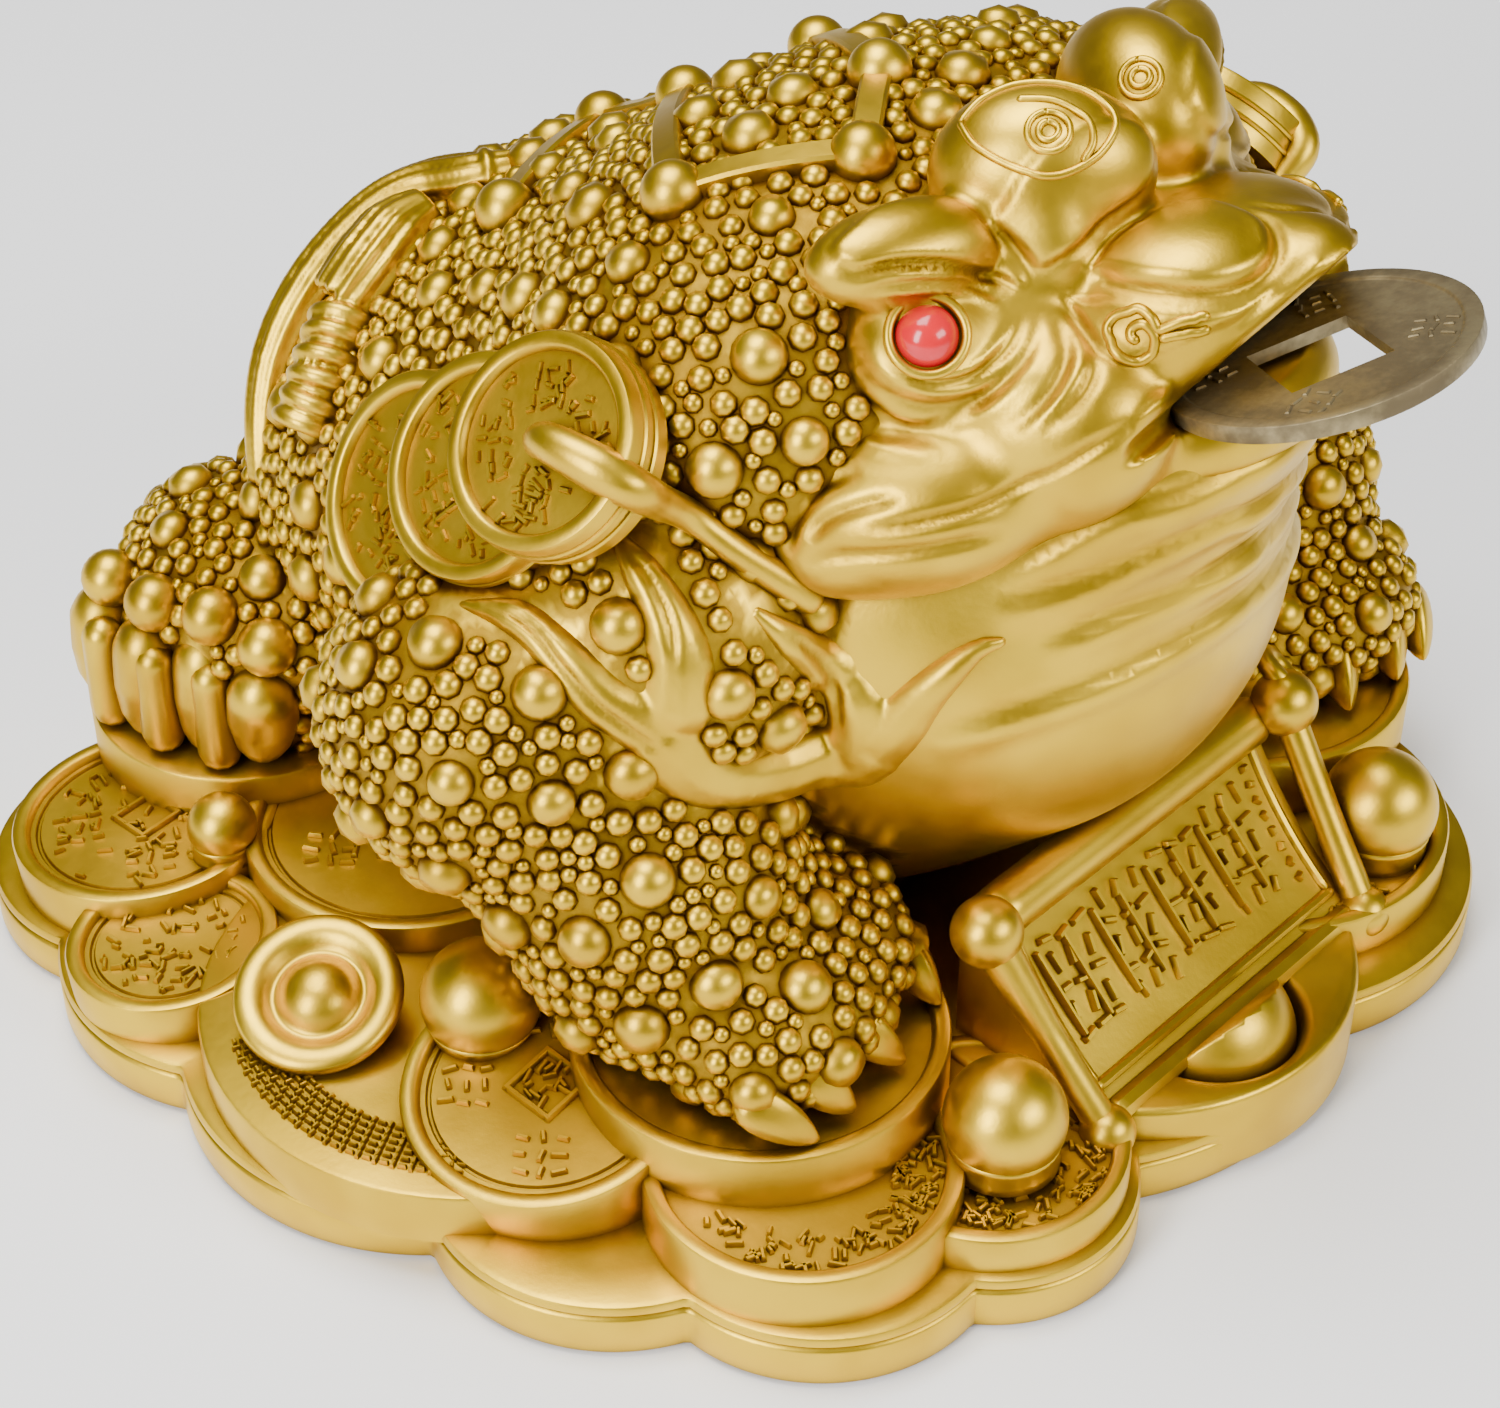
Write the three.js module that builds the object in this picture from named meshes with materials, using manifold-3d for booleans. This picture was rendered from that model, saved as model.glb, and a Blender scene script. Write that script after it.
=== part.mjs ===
// A money toad: a cast resin toad on a bed of coins, with two red bead eyes and a loose brass coin in its mouth.
// Millimetres, +Z up. The toad faces -Y, its own right side is -X, and Z = 0 is the underside of the bed.
import * as THREE from 'three';
import { mergeVertices } from 'three/addons/utils/BufferGeometryUtils.js';
import Module from 'manifold-3d';

const wasm = await Module();
wasm.setup();

// Sizes that are set by themselves.
const TOAD_HEIGHT = 88; // floor to the top of the brow domes
const BED_LENGTH = 129.8; // from side to side
const BED_TIER = 5.3; // thickness of the lower ring of coins
const BED_COIN = 4.7; // how far the coins lying on it stand above it
const COIN_RIM_WIDTH = 1.3; // raised rim of each carved coin
const COIN_RIM_HEIGHT = 0.7;
const FRONT_DISC_RADIUS = 15.2; // coins under the front feet
const HIND_DISC_RADIUS = 14.2;
const FOOT_DISC_HEIGHT = 4.4; // how far the coins under the feet stand above the others
const PEARL_RADIUS = 4.7; // balls lying among the coins
const SMALL_PEARL_RADIUS = 3;
const INGOT_BALL_RADIUS = 6.5;
const SMALL_INGOT_RADIUS = 7.1;
const STAR_RADIUS = 2.4; // the seven balls on the back
const STAR_BAR_RADIUS = 0.9;
const WART_RADIUS = 2.2; // the largest warts, between the flame strands
const CORD_RADIUS = 1.5; // cord that strings the coins at the flanks
const STRUNG_COIN_RADIUS = 7.6;
const STRUNG_COIN_THICKNESS = 9; // the stack is set this deep
const BANNER_LENGTH = 35; // between the two rods
const BANNER_WIDTH = 13;
const BANNER_THICKNESS = 3;
const ROD_RADIUS = 1.25;
const ROD_KNOB_RADIUS = 2.2;
const MOUTH_COIN_DIAMETER = 23.4;
const MOUTH_COIN_THICKNESS = 1.4;
const MOUTH_COIN_HOLE = 7.5; // side of the square hole
const MOUTH_COIN_RIM = 1.7;
const MOUTH_COIN_RELIEF = 0.2; // how far the field lies under the rim
const MOUTH_CLEARANCE = 0.35;
const EYE_BEAD_DIAMETER = 4.7;
const EYE_BEAD_PROUD = 1.1; // how far the bead stands out of the eyeball
const BEAD_CLEARANCE = 0.3;

// The toad is a free form, so its pose is given in eighty-eighths of its height.
const U = TOAD_HEIGHT / 88;
// The plan of the bed is laid out for a length of 129.8 and grows and shrinks with it.
const B = BED_LENGTH / 129.8;
const HEAD_TURN = 7; // degrees the head is turned to the toad's left
const BED_TOP = BED_TIER + BED_COIN;
const DISC_TOP = BED_TOP + FOOT_DISC_HEIGHT;
const SIDES = [1, -1]; // the toad's right side first, which is -X
const RAD = Math.PI / 180;
const UP = new THREE.Vector3(0, 0, 1);
const headPlace = new THREE.Matrix4().makeRotationZ(HEAD_TURN * RAD).setPosition(-1.5 * U, 0, 0);

function solidOf(geometry, matrix) {
  const plain = geometry.index ? geometry.toNonIndexed() : geometry.clone();
  const bare = new THREE.BufferGeometry().setAttribute('position', plain.getAttribute('position'));
  if (matrix) bare.applyMatrix4(matrix);
  const merged = mergeVertices(bare, 1e-4);
  const triVerts = new Uint32Array(merged.index.array);
  return new wasm.Manifold(new wasm.Mesh({ numProp: 3, vertProperties: merged.attributes.position.array, triVerts }));
}

function geometryOf(solid) {
  const { vertProperties, triVerts } = solid.getMesh();
  const geometry = new THREE.BufferGeometry();
  geometry.setAttribute('position', new THREE.BufferAttribute(new Float32Array(vertProperties), 3));
  geometry.setIndex(new THREE.BufferAttribute(new Uint32Array(triVerts), 1));
  return geometry;
}

const union = (solids) => solids.reduce((all, one) => all.add(one));
const scaled = (p) => p.map((v) => v * U);
const onBed = ([x, y, z]) => [x * B, y * B, z];
const mirrored = ([x, y, z], side) => [x * side, y, z];

function pose([x, y, z], { pitch = 0, yaw = 0, roll = 0 } = {}) {
  const turn = new THREE.Euler(pitch * RAD, roll * RAD, yaw * RAD, 'ZXY');
  return new THREE.Matrix4().makeRotationFromEuler(turn).setPosition(x, y, z);
}

// Lays a shape built on the Z axis at a place with its top facing along a direction.
function facing([x, y, z], normal) {
  const turn = new THREE.Quaternion().setFromUnitVectors(UP, new THREE.Vector3(...normal).normalize());
  return new THREE.Matrix4().makeRotationFromQuaternion(turn).setPosition(x, y, z);
}

// Turns a shape drawn in Y and Z and extruded upward so that it runs along X from a start.
function alongX(start) {
  return new THREE.Matrix4().makeBasis(
    new THREE.Vector3(0, 1, 0), new THREE.Vector3(0, 0, 1), new THREE.Vector3(1, 0, 0),
  ).setPosition(start, 0, 0);
}

function ball(centre, radius, detail = 1) {
  return solidOf(new THREE.IcosahedronGeometry(radius, detail), pose(centre));
}

function cylinder([x, y], radius, bottom, top, segments = 24, topRadius = radius) {
  const shape = new THREE.CylinderGeometry(topRadius, radius, top - bottom, segments).rotateX(Math.PI / 2);
  return solidOf(shape, pose([x, y, (top + bottom) / 2]));
}

// A rod along a path with round shoulders at its ends, its radius set at each station.
function sweep(points, radii, segments = 6, rings = Math.max(1, points.length * 2 - 2)) {
  const path = new THREE.CatmullRomCurve3(points.map((p) => new THREE.Vector3(...p)));
  const frames = path.computeFrenetFrames(rings, false);
  const positions = [];
  const index = [];
  for (let i = 0; i <= rings; i += 1) {
    const t = i / rings;
    const centre = path.getPointAt(t);
    const place = t * (radii.length - 1);
    const low = Math.min(Math.floor(place), radii.length - 2);
    const radius = radii[low] + (radii[low + 1] - radii[low]) * (place - low);
    for (let j = 0; j < segments; j += 1) {
      const angle = (j / segments) * 2 * Math.PI;
      const offset = frames.normals[i].clone().multiplyScalar(radius * Math.cos(angle))
        .addScaledVector(frames.binormals[i], radius * Math.sin(angle));
      positions.push(...centre.clone().add(offset).toArray());
      if (i < rings) {
        const [a, b] = [i * segments + j, i * segments + ((j + 1) % segments)];
        index.push(a, b, a + segments, b, b + segments, a + segments);
      }
    }
  }
  const ends = [[path.getPointAt(0), 0, -1], [path.getPointAt(1), rings, 1]];
  for (const [centre, ring, sign] of ends) {
    const tip = positions.length / 3;
    positions.push(...centre.toArray());
    for (let j = 0; j < segments; j += 1) {
      const [a, b] = [ring * segments + j, ring * segments + ((j + 1) % segments)];
      index.push(...(sign > 0 ? [a, b, tip] : [b, a, tip]));
    }
  }
  const shape = new THREE.BufferGeometry();
  shape.setAttribute('position', new THREE.Float32BufferAttribute(positions, 3));
  shape.setIndex(index);
  const solid = solidOf(shape);
  return solid.volume() > 0 ? solid : solidOf(flipped(shape));
}

function flipped(shape) {
  const index = Array.from(shape.index.array);
  for (let i = 0; i < index.length; i += 3) {
    [index[i + 1], index[i + 2]] = [index[i + 2], index[i + 1]];
  }
  shape.setIndex(index);
  return shape;
}

// A lump is one ellipsoid of a soft form, and a skin is a ball grown out to where the blended lumps end.
function lump(centre, radii, turn = {}) {
  const inverse = pose(scaled(centre), turn).invert();
  const [rx, ry, rz] = scaled(radii);
  const p = new THREE.Vector3();
  return (x, y, z) => {
    p.set(x, y, z).applyMatrix4(inverse);
    const near = Math.hypot(p.x / rx, p.y / ry, p.z / rz);
    const steep = Math.hypot(p.x / rx ** 2, p.y / ry ** 2, p.z / rz ** 2);
    return steep < 1e-9 ? -Math.min(rx, ry, rz) : (near * (near - 1)) / steep;
  };
}

const pair = (centre, radii, { pitch = 0, yaw = 0, roll = 0 } = {}) => SIDES.map((side) => (
  lump(mirrored(centre, side), radii, { pitch, yaw: yaw * side, roll: roll * side })
));

function blend(lumps, softness) {
  return (x, y, z) => lumps.reduce((best, field) => {
    const d = field(x, y, z);
    const overlap = Math.max(softness - Math.abs(best - d), 0) / softness;
    return Math.min(best, d) - overlap * overlap * softness / 4;
  }, 1e3);
}

function skin(centre, field, detail, reach, place) {
  const shape = new THREE.IcosahedronGeometry(1, detail);
  const positions = shape.getAttribute('position');
  const [cx, cy, cz] = scaled(centre);
  const ray = new THREE.Vector3();
  for (let i = 0; i < positions.count; i += 1) {
    ray.fromBufferAttribute(positions, i).normalize();
    let t = reach * U;
    for (let step = 0; step < 90; step += 1) {
      const d = field(cx + ray.x * t, cy + ray.y * t, cz + ray.z * t);
      if (d < 0.01) break;
      t -= 0.7 * d;
    }
    ray.multiplyScalar(Math.max(t, 1));
    positions.setXYZ(i, cx + ray.x, cy + ray.y, cz + ray.z);
  }
  return solidOf(shape, place);
}

// The trunk slopes down to the rear, with shoulders behind the head.
const trunkField = blend([
  lump([0, 12, 40], [37, 40, 27], { pitch: -30 }),
  lump([0, -8, 60], [35.5, 22, 19], { pitch: -10 }),
  lump([0, 32, 30], [30, 21, 24]),
], 10 * U);

const throatField = blend([
  lump([0, -14, 42.5], [28, 27.5, 26.5]),
  lump([1, -30, 58], [15, 14, 9], { pitch: -20 }),
  lump([0, -6, 23], [25, 19, 15]),
], 8 * U);

// Skull, snout, brows, eyeballs and cheeks.
const headField = blend([
  lump([0, -19, 66.5], [22, 16.5, 12], { pitch: -16 }),
  lump([0, -33, 70.3], [13.2, 12, 6.8], { pitch: -24 }),
  lump([0, -41, 75.2], [4.5, 5.2, 3.2], { pitch: -20 }),
  lump([0, -33.5, 61.5], [12.8, 11.5, 6.5], { pitch: -18 }),
  ...pair([-13, -28, 63.5], [8, 12, 8.5], { pitch: -24 }),
  ...pair([-18.5, -22, 59], [10, 12, 7.5], { pitch: -16, yaw: 30 }),
  ...pair([-24, -18.5, 56.2], [5.5, 6.5, 3.8]),
  ...pair([-18.8, -20.8, 77], [7.2, 4.9, 4.4], { yaw: -29 }),
  ...pair([-18, -21.9, 70.1], [5.6, 5.6, 5.6]),
  ...pair([-6.6, -24.3, 79.8], [5.7, 8.2, 6.6], { yaw: 38 }),
  ...pair([-5.6, -34.6, 74.2], [6, 7, 4], { pitch: -14, yaw: 10 }),
], 1.6 * U);

// The left front foot stands a little further out than the right one.
const LEFT_FOOT_SPREAD = 4.5;

function frontLeg(side) {
  const at = (x, y, z, spread = 0) => [(x - (side < 0 ? spread : 0)) * side, y, z];
  const field = blend([
    lump(at(-42, -3.5, 40, -LEFT_FOOT_SPREAD / 2), [12, 13, 12.5]),
    lump(at(-36.5, -14.5, 28, LEFT_FOOT_SPREAD), [11.5, 12, 12]),
    lump(at(-31.5, -18.5, 20, LEFT_FOOT_SPREAD), [13.5, 10.5, 7]),
    lump(at(-30, -11, 47), [13, 13, 13]),
  ], 6 * U);
  return skin(at(-36, -12, 29), field, 3, 45);
}

function hindLeg(side) {
  const at = (x, y, z) => [x * side, y, z];
  const field = blend([
    lump(at(-28.5, 38, 25.8), [12.7, 15.3, 8.5]),
    lump(at(-27, 38, 17), [8, 9.5, 7]),
  ], 4 * U);
  return skin(at(-27, 38, 24), field, 2, 40);
}

// A toe bends over its knuckle and ends in a claw on the coin under the foot.
function toe([x, y], [rootX, rootY], knuckle) {
  const middle = [(x * 2 + rootX) / 3, (y * 2 + rootY) / 3, knuckle - 2.5];
  const bend = [[rootX, rootY, knuckle], middle].map(scaled);
  return sweep([...bend, [x * U, y * U, DISC_TOP]], scaled([2.4, 2.9, 0.8]), 5, 2);
}

function toes() {
  const rightFront = [[-39.6, -33.6], [-34, -34.8], [-26.4, -34], [-19.5, -30.3]];
  const leftFront = [[45.5, -30.5], [40.8, -33], [35.5, -33.5], [30.5, -32.5]];
  const hind = [[-40.5, 46.8], [-41.2, 41.6], [-38.8, 37], [-35, 33.1]];
  return [
    ...rightFront.map(([x, y]) => toe([x, y], [x * 0.75 - 8, y * 0.7 - 5], 22.5)),
    ...leftFront.map(([x, y]) => toe([x, y], [x * 0.9 + 2, y * 0.7 - 5], 23.5)),
    ...SIDES.flatMap((side) => hind.map(([x, y]) => toe([x * side, y], [(x + 4) * side, y + 3], 24.5))),
  ];
}

// A coin on the Z axis with its face at Z = 0, plain or with a raised rim round it.
function coinShape(radius, thickness, segments, rim = true) {
  const inner = radius - COIN_RIM_WIDTH;
  const edge = [[0, -thickness], [radius, -thickness], [radius, 0]];
  const face = rim ? [[inner, 0], [inner - 0.4, -COIN_RIM_HEIGHT], [0, -COIN_RIM_HEIGHT]] : [[0, 0]];
  const profile = [...edge, ...face].map(([r, h]) => new THREE.Vector2(r, h));
  return new THREE.LatheGeometry(profile, segments).rotateX(Math.PI / 2);
}

// A coin of the bed, leaning outward from the middle of the bed by some degrees. It reaches down into the lower ring.
function bedCoin([x, y], radius, top, { lean = 0, rim = true, segments = 12 } = {}) {
  const out = new THREE.Vector2(x, y).normalize().multiplyScalar(Math.sin(lean * RAD));
  const normal = [out.x, out.y, Math.cos(lean * RAD)];
  const depth = top - BED_TIER + 1;
  return solidOf(coinShape(radius * B, depth, segments, rim), facing(onBed([x, y, top]), normal));
}

// A scalloped slab: the outline of overlapping round coins, sampled round the middle of the bed.
function scallops(coins, inset, bottom, top, samples) {
  const outline = Array.from({ length: samples }, (_, i) => {
    const angle = (i / samples) * 2 * Math.PI;
    const [dx, dy] = [Math.cos(angle), Math.sin(angle)];
    const reach = Math.max(...coins.map(([x, y, r]) => {
      const along = x * dx + y * dy;
      const half = (r - inset) ** 2 - (x * x + y * y - along * along);
      return half > 0 ? along + Math.sqrt(half) : 0;
    }));
    return new THREE.Vector2(dx * reach * B, dy * reach * B);
  });
  const slab = new THREE.ExtrudeGeometry(new THREE.Shape(outline), { depth: top - bottom, bevelEnabled: false });
  return solidOf(slab, new THREE.Matrix4().makeTranslation(0, 0, bottom));
}

// The rim coins of the lower ring: x, y and radius.
const bothSides = [[-44.5, 38.5, 15], [-46, 22.7, 17.7], [-43.2, 3.2, 21.8], [-31, 41, 14], [-13, 38, 16.5]];
const RIM_COINS = [
  ...bothSides.flatMap(([x, y, r]) => SIDES.map((side) => [x * side, y, r])),
  [-44.3, -18.8, 15.8], [-36.4, -33.2, 14.8], [-25, -41, 12.1], [41, -17, 13.5], [20.4, -31.7, 21.2], [-1, -25.5, 28],
];

function bed() {
  const coins = [
    ...SIDES.flatMap((side) => [
      bedCoin([-46.6 * side, 37.3], 11.8, BED_TOP + 0.6, { lean: 4 }),
      bedCoin([-54.6 * side, 24], 9, BED_TOP - 0.6, { lean: 4, segments: 12, rim: false }),
      bedCoin([-40.4 * side, 0], 24, BED_TOP - 0.7, { rim: false, segments: 16 }),
      bedCoin([-32 * side, 18.3], 14.8, BED_TOP + 2),
      bedCoin([-12.5 * side, 38.5], 14.5, BED_TOP + 0.1, { rim: false, segments: 12 }),
    ]),
    bedCoin([-38, -32.8], 12.6, BED_TOP + 0.2, { rim: false }),
    bedCoin([-25, -40.6], 11.4, BED_TOP - 1.3, { rim: false }),
    bedCoin([-46.8, -13.6], 11.8, BED_TOP + 2.2, { lean: 12, segments: 16 }),
    bedCoin([22, -33], 16.6, BED_TOP - 0.5, { rim: false }),
    bedCoin([41, -15], 12, BED_TOP - 0.2, { rim: false, segments: 12 }),
  ];
  return [scallops(RIM_COINS, 0, 0, BED_TIER, 72), ...coins];
}

function footDiscs() {
  return SIDES.flatMap((side) => [
    bedCoin([-32.3 * side, -23], FRONT_DISC_RADIUS, DISC_TOP),
    bedCoin([-31.3 * side, 41], HIND_DISC_RADIUS, DISC_TOP, { rim: false }),
  ]);
}

// The boat-shaped ingot at the front, with its ball, and a small one at the side.
function bigIngot() {
  const boat = cylinder(onBed([0, -34.5]), 19.6 * B, 0.5, BED_TOP, 20, 20.6 * B);
  const hollow = cylinder(onBed([0, -42.4]), 9 * B, BED_TIER + 0.1, BED_TOP + 0.4, 14, 11.4 * B);
  return boat.subtract(hollow).add(ball(onBed([-0.8, -45.8, 8.6]), INGOT_BALL_RADIUS));
}

function smallIngot() {
  const r = SMALL_INGOT_RADIUS;
  const profile = [[0, -6], [r - 2.6, -6], [r, -1], [r - 0.4, 0], [r - 2.4, -1.6], [0, -1.6]]
    .map(([a, b]) => new THREE.Vector2(a, b));
  const shape = new THREE.LatheGeometry(profile, 10).rotateX(Math.PI / 2);
  const place = facing(onBed([-53.2, 6.4, BED_TOP + 3.4]), [-0.32, -0.22, 0.92]);
  return solidOf(shape, place).add(solidOf(new THREE.IcosahedronGeometry(3.2, 1).translate(0, 0, -0.8), place));
}

function pearls() {
  return [
    ball(onBed([-45, 28.4, BED_TOP + 3]), SMALL_PEARL_RADIUS),
    ball(onBed([-45.5, -4.8, BED_TOP + 4.5]), PEARL_RADIUS),
    ball(onBed([-26, -43, BED_TOP + 3]), PEARL_RADIUS),
    ball(onBed([25, -43, BED_TOP + 3.2]), PEARL_RADIUS + 0.4),
    ball(onBed([44.2, -3.8, BED_TOP + 4]), PEARL_RADIUS),
  ];
}

// The scroll leans on the front of the bed: rods with knobs, the paper between them, rolled at both edges.
function scroll() {
  const pieces = [];
  const lower = (x) => [x, -47.2, 8];
  const upper = (x) => [x, -35, 23.6];
  for (const side of SIDES) {
    pieces.push(sweep([upper(19.8 * side), lower(17.8 * side)], [ROD_RADIUS, ROD_RADIUS], 6, 1));
    pieces.push(ball(upper(19.8 * side), ROD_KNOB_RADIUS + 0.4, 0), ball(lower(17.8 * side), ROD_KNOB_RADIUS + 0.2, 0));
  }
  const slope = Math.atan2(23.6 - 8, 12.2) / RAD;
  const place = pose([0, -40.2, 15.2], { pitch: slope });
  const panel = solidOf(new THREE.BoxGeometry(BANNER_LENGTH, BANNER_WIDTH, BANNER_THICKNESS), place);
  const recess = new THREE.BoxGeometry(BANNER_LENGTH - 4.5, BANNER_WIDTH - 2.4, 2).translate(0, 0, BANNER_THICKNESS / 2 + 0.3);
  pieces.push(panel.subtract(solidOf(recess, place)));
  const backing = new THREE.Shape([[-44.6, 8], [-32, 8], [-32, 21], [-36.2, 20]].map(([y, z]) => new THREE.Vector2(y, z)));
  const fill = new THREE.ExtrudeGeometry(backing, { depth: BANNER_LENGTH, bevelEnabled: false });
  pieces.push(solidOf(fill, alongX(-BANNER_LENGTH / 2)));
  pieces.push(sweep([[-18, -45.3, 9.6], [18, -45.3, 9.6]], [1.3, 1.3], 7, 1));
  pieces.push(sweep([[-19, -34.5, 21], [19, -34.5, 21]], [3.6, 3.6], 10, 1));
  return pieces;
}

// Coins strung on a cord at each flank, fanned back and down. The left ones hang a little lower.
function strungCoins(side) {
  const drop = side > 0 ? 0 : 2.5;
  const near = new THREE.Vector3(-39 * side, -8.3 - drop, 65 - drop).multiplyScalar(U);
  const far = new THREE.Vector3(-37.7 * side, 13, 50).multiplyScalar(U);
  const nearFace = new THREE.Vector3(-0.62 * side, -0.35, 0.7);
  const farFace = new THREE.Vector3(-0.85 * side, 0.25, 0.45);
  const coins = [0, 0.5, 1].map((t) => {
    const centre = near.clone().lerp(far, t);
    const face = nearFace.clone().lerp(farFace, t).normalize();
    const shape = coinShape(STRUNG_COIN_RADIUS + 2.8 * t, STRUNG_COIN_THICKNESS, 10, t === 0);
    return solidOf(shape, facing(centre.toArray(), face.toArray()));
  });
  const bends = [[-37 * side, -13, 64 - drop], [-34.5 * side, -17.5, 60.4], [-29 * side, -25, 55.2]].map(scaled);
  const cordRadii = [CORD_RADIUS, CORD_RADIUS + 0.3, CORD_RADIUS, CORD_RADIUS];
  const cord = sweep([near.toArray(), ...bends], cordRadii, 5, 4);
  return [...coins, cord];
}

// The seven balls on the back and the bars that join them.
function star() {
  const seat = (place) => {
    const [x, y] = scaled(place);
    let z = 95 * U;
    while (trunkField(x, y, z) > 0.6) z -= 0.3;
    return [x, y, z];
  };
  const balls = [[-10, -12.3], [-0.5, -5.6], [0.2, 15.5], [-19.6, -2.4], [2, 27], [-15.4, 20.6], [10, 10]].map(seat);
  const bars = [[0, 1], [2, 3], [3, 0], [5, 4], [4, 2], [1, 6]];
  return [
    ...balls.map((p) => ball(p, STAR_RADIUS, 0)),
    ...bars.map(([a, b]) => sweep([balls[a], balls[b]], [STAR_BAR_RADIUS, STAR_BAR_RADIUS], 3, 1)),
  ];
}

// Flame strands sweep from the chest over each shoulder, with the largest warts between them.
function flames(side) {
  const strands = [
    [[-26, -27.5, 46], [-33.8, -23.4, 51.5], [-36.5, -15.5, 58.5]],
    [[-25, -26.5, 36], [-36.5, -23.2, 40.8], [-42, -19, 46.8], [-46.4, -8.4, 52.4]],
  ];
  const warts = [[-39.8, -16.2, 54.2], [-31.5, -23.6, 44.8]];
  return [
    ...strands.map((points) => {
      const line = points.map((p) => scaled(mirrored(p, side)));
      return sweep(line, scaled([2, 2.2, 1.8, 0.6]), 4, points.length - 1);
    }),
    ...warts.map((p) => ball(scaled(mirrored(p, side)), WART_RADIUS, 0)),
  ];
}

// The tail band curls over the rump to the right, with a tassel and a bound knot inside its curve.
function tail() {
  const band = [[-3, 32, 59], [-9, 38.5, 57], [-17, 42.5, 52], [-24, 42.5, 44], [-28, 40.5, 34]];
  const tassel = [[-13, 33, 59.5], [-20.5, 35.5, 52.5]];
  const knot = [[-24, 33, 50.5], [-28, 34, 43]];
  return [
    sweep(band.map(scaled), scaled([2, 2.6, 2.8, 2.6, 1.8]), 5, 5),
    sweep(tassel.map(scaled), scaled([2.2, 2.6]), 6, 1),
    sweep(knot.map(scaled), scaled([2.8, 2.4]), 6, 1),
  ];
}

const cast = union([
  ...bed(), ...footDiscs(), bigIngot(), smallIngot(), ...pearls(), ...scroll(),
  skin([0, 8, 42], trunkField, 4, 75), skin([0, -16, 46], throatField, 3, 60),
  skin([0, -22, 67], headField, 6, 50, headPlace),
  ...SIDES.flatMap((side) => [frontLeg(side), hindLeg(side), ...strungCoins(side)]), ...toes(),
  ...star(), ...tail(), ...SIDES.flatMap(flames),
]);

// The mouth coin and the slot it rests in.
const coinPlace = headPlace.clone().multiply(facing(scaled([-0.2, -44.4, 68.85]), [-0.07, 0.317, 0.946]));

function mouthCoin() {
  const r = MOUTH_COIN_DIAMETER / 2;
  const h = MOUTH_COIN_THICKNESS / 2;
  const field = h - MOUTH_COIN_RELIEF;
  const inner = r - MOUTH_COIN_RIM;
  const profile = [[0, -field], [inner, -field], [inner + 0.1, -h], [r, -h], [r, h], [inner + 0.1, h], [inner, field], [0, field]]
    .map(([a, b]) => new THREE.Vector2(a, b));
  const blank = solidOf(new THREE.LatheGeometry(profile, 22).rotateX(Math.PI / 2), coinPlace);
  const turned = coinPlace.clone().multiply(new THREE.Matrix4().makeRotationZ(-35 * RAD));
  return blank.subtract(solidOf(new THREE.BoxGeometry(MOUTH_COIN_HOLE, MOUTH_COIN_HOLE, 5), turned));
}

function mouthCut() {
  const slot = new THREE.CylinderGeometry(
    MOUTH_COIN_DIAMETER / 2 + MOUTH_CLEARANCE, MOUTH_COIN_DIAMETER / 2 + MOUTH_CLEARANCE,
    MOUTH_COIN_THICKNESS + 2 * MOUTH_CLEARANCE, 20,
  ).rotateX(Math.PI / 2);
  const gape = new THREE.Shape([[-34, 65.9], [-60, 74.6], [-60, 95.4], [-34, 66.6]]
    .map((p) => new THREE.Vector2(...scaled(p))));
  const wedge = new THREE.ExtrudeGeometry(gape, { depth: 60, bevelEnabled: false });
  return solidOf(slot, coinPlace).add(solidOf(wedge, headPlace.clone().multiply(alongX(-30))));
}

// The eye beads look out, forward and up.
function eyeBead(side, clearance = 0) {
  const look = new THREE.Vector3(-0.6 * side, -0.47, 0.64).normalize();
  const spot = new THREE.Vector3(...scaled([-18 * side, -21.9, 70.1])).addScaledVector(look, 12 * U);
  while (headField(spot.x, spot.y, spot.z) > 0) spot.addScaledVector(look, -0.05);
  spot.addScaledVector(look, EYE_BEAD_PROUD - EYE_BEAD_DIAMETER / 2);
  return ball(spot.applyMatrix4(headPlace).toArray(), EYE_BEAD_DIAMETER / 2 + clearance, 1);
}

const toadSolid = SIDES.reduce((solid, side) => solid.subtract(eyeBead(side, BEAD_CLEARANCE)), cast.subtract(mouthCut()));

const GOLD = { color: 0xc79a2e, roughness: 0.38, metalness: 0.6 };
const BRASS = { color: 0x6e6148, roughness: 0.5, metalness: 0.85 };
const RED = { color: 0xc41a24, roughness: 0.2, metalness: 0 };
const group = new THREE.Group();
for (const [name, solid, look] of [
  ['toad_and_coin_bed', toadSolid, GOLD],
  ['mouth_coin', mouthCoin(), BRASS],
  ['right_eye_bead', eyeBead(SIDES[0]), RED],
  ['left_eye_bead', eyeBead(SIDES[1]), RED],
]) {
  const mesh = new THREE.Mesh(geometryOf(solid), new THREE.MeshStandardMaterial(look));
  mesh.name = name;
  group.add(mesh);
}

export default group;
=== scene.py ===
import math
import random

import bpy
import numpy as np
from mathutils import Matrix, Vector
from mathutils.kdtree import KDTree


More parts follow.
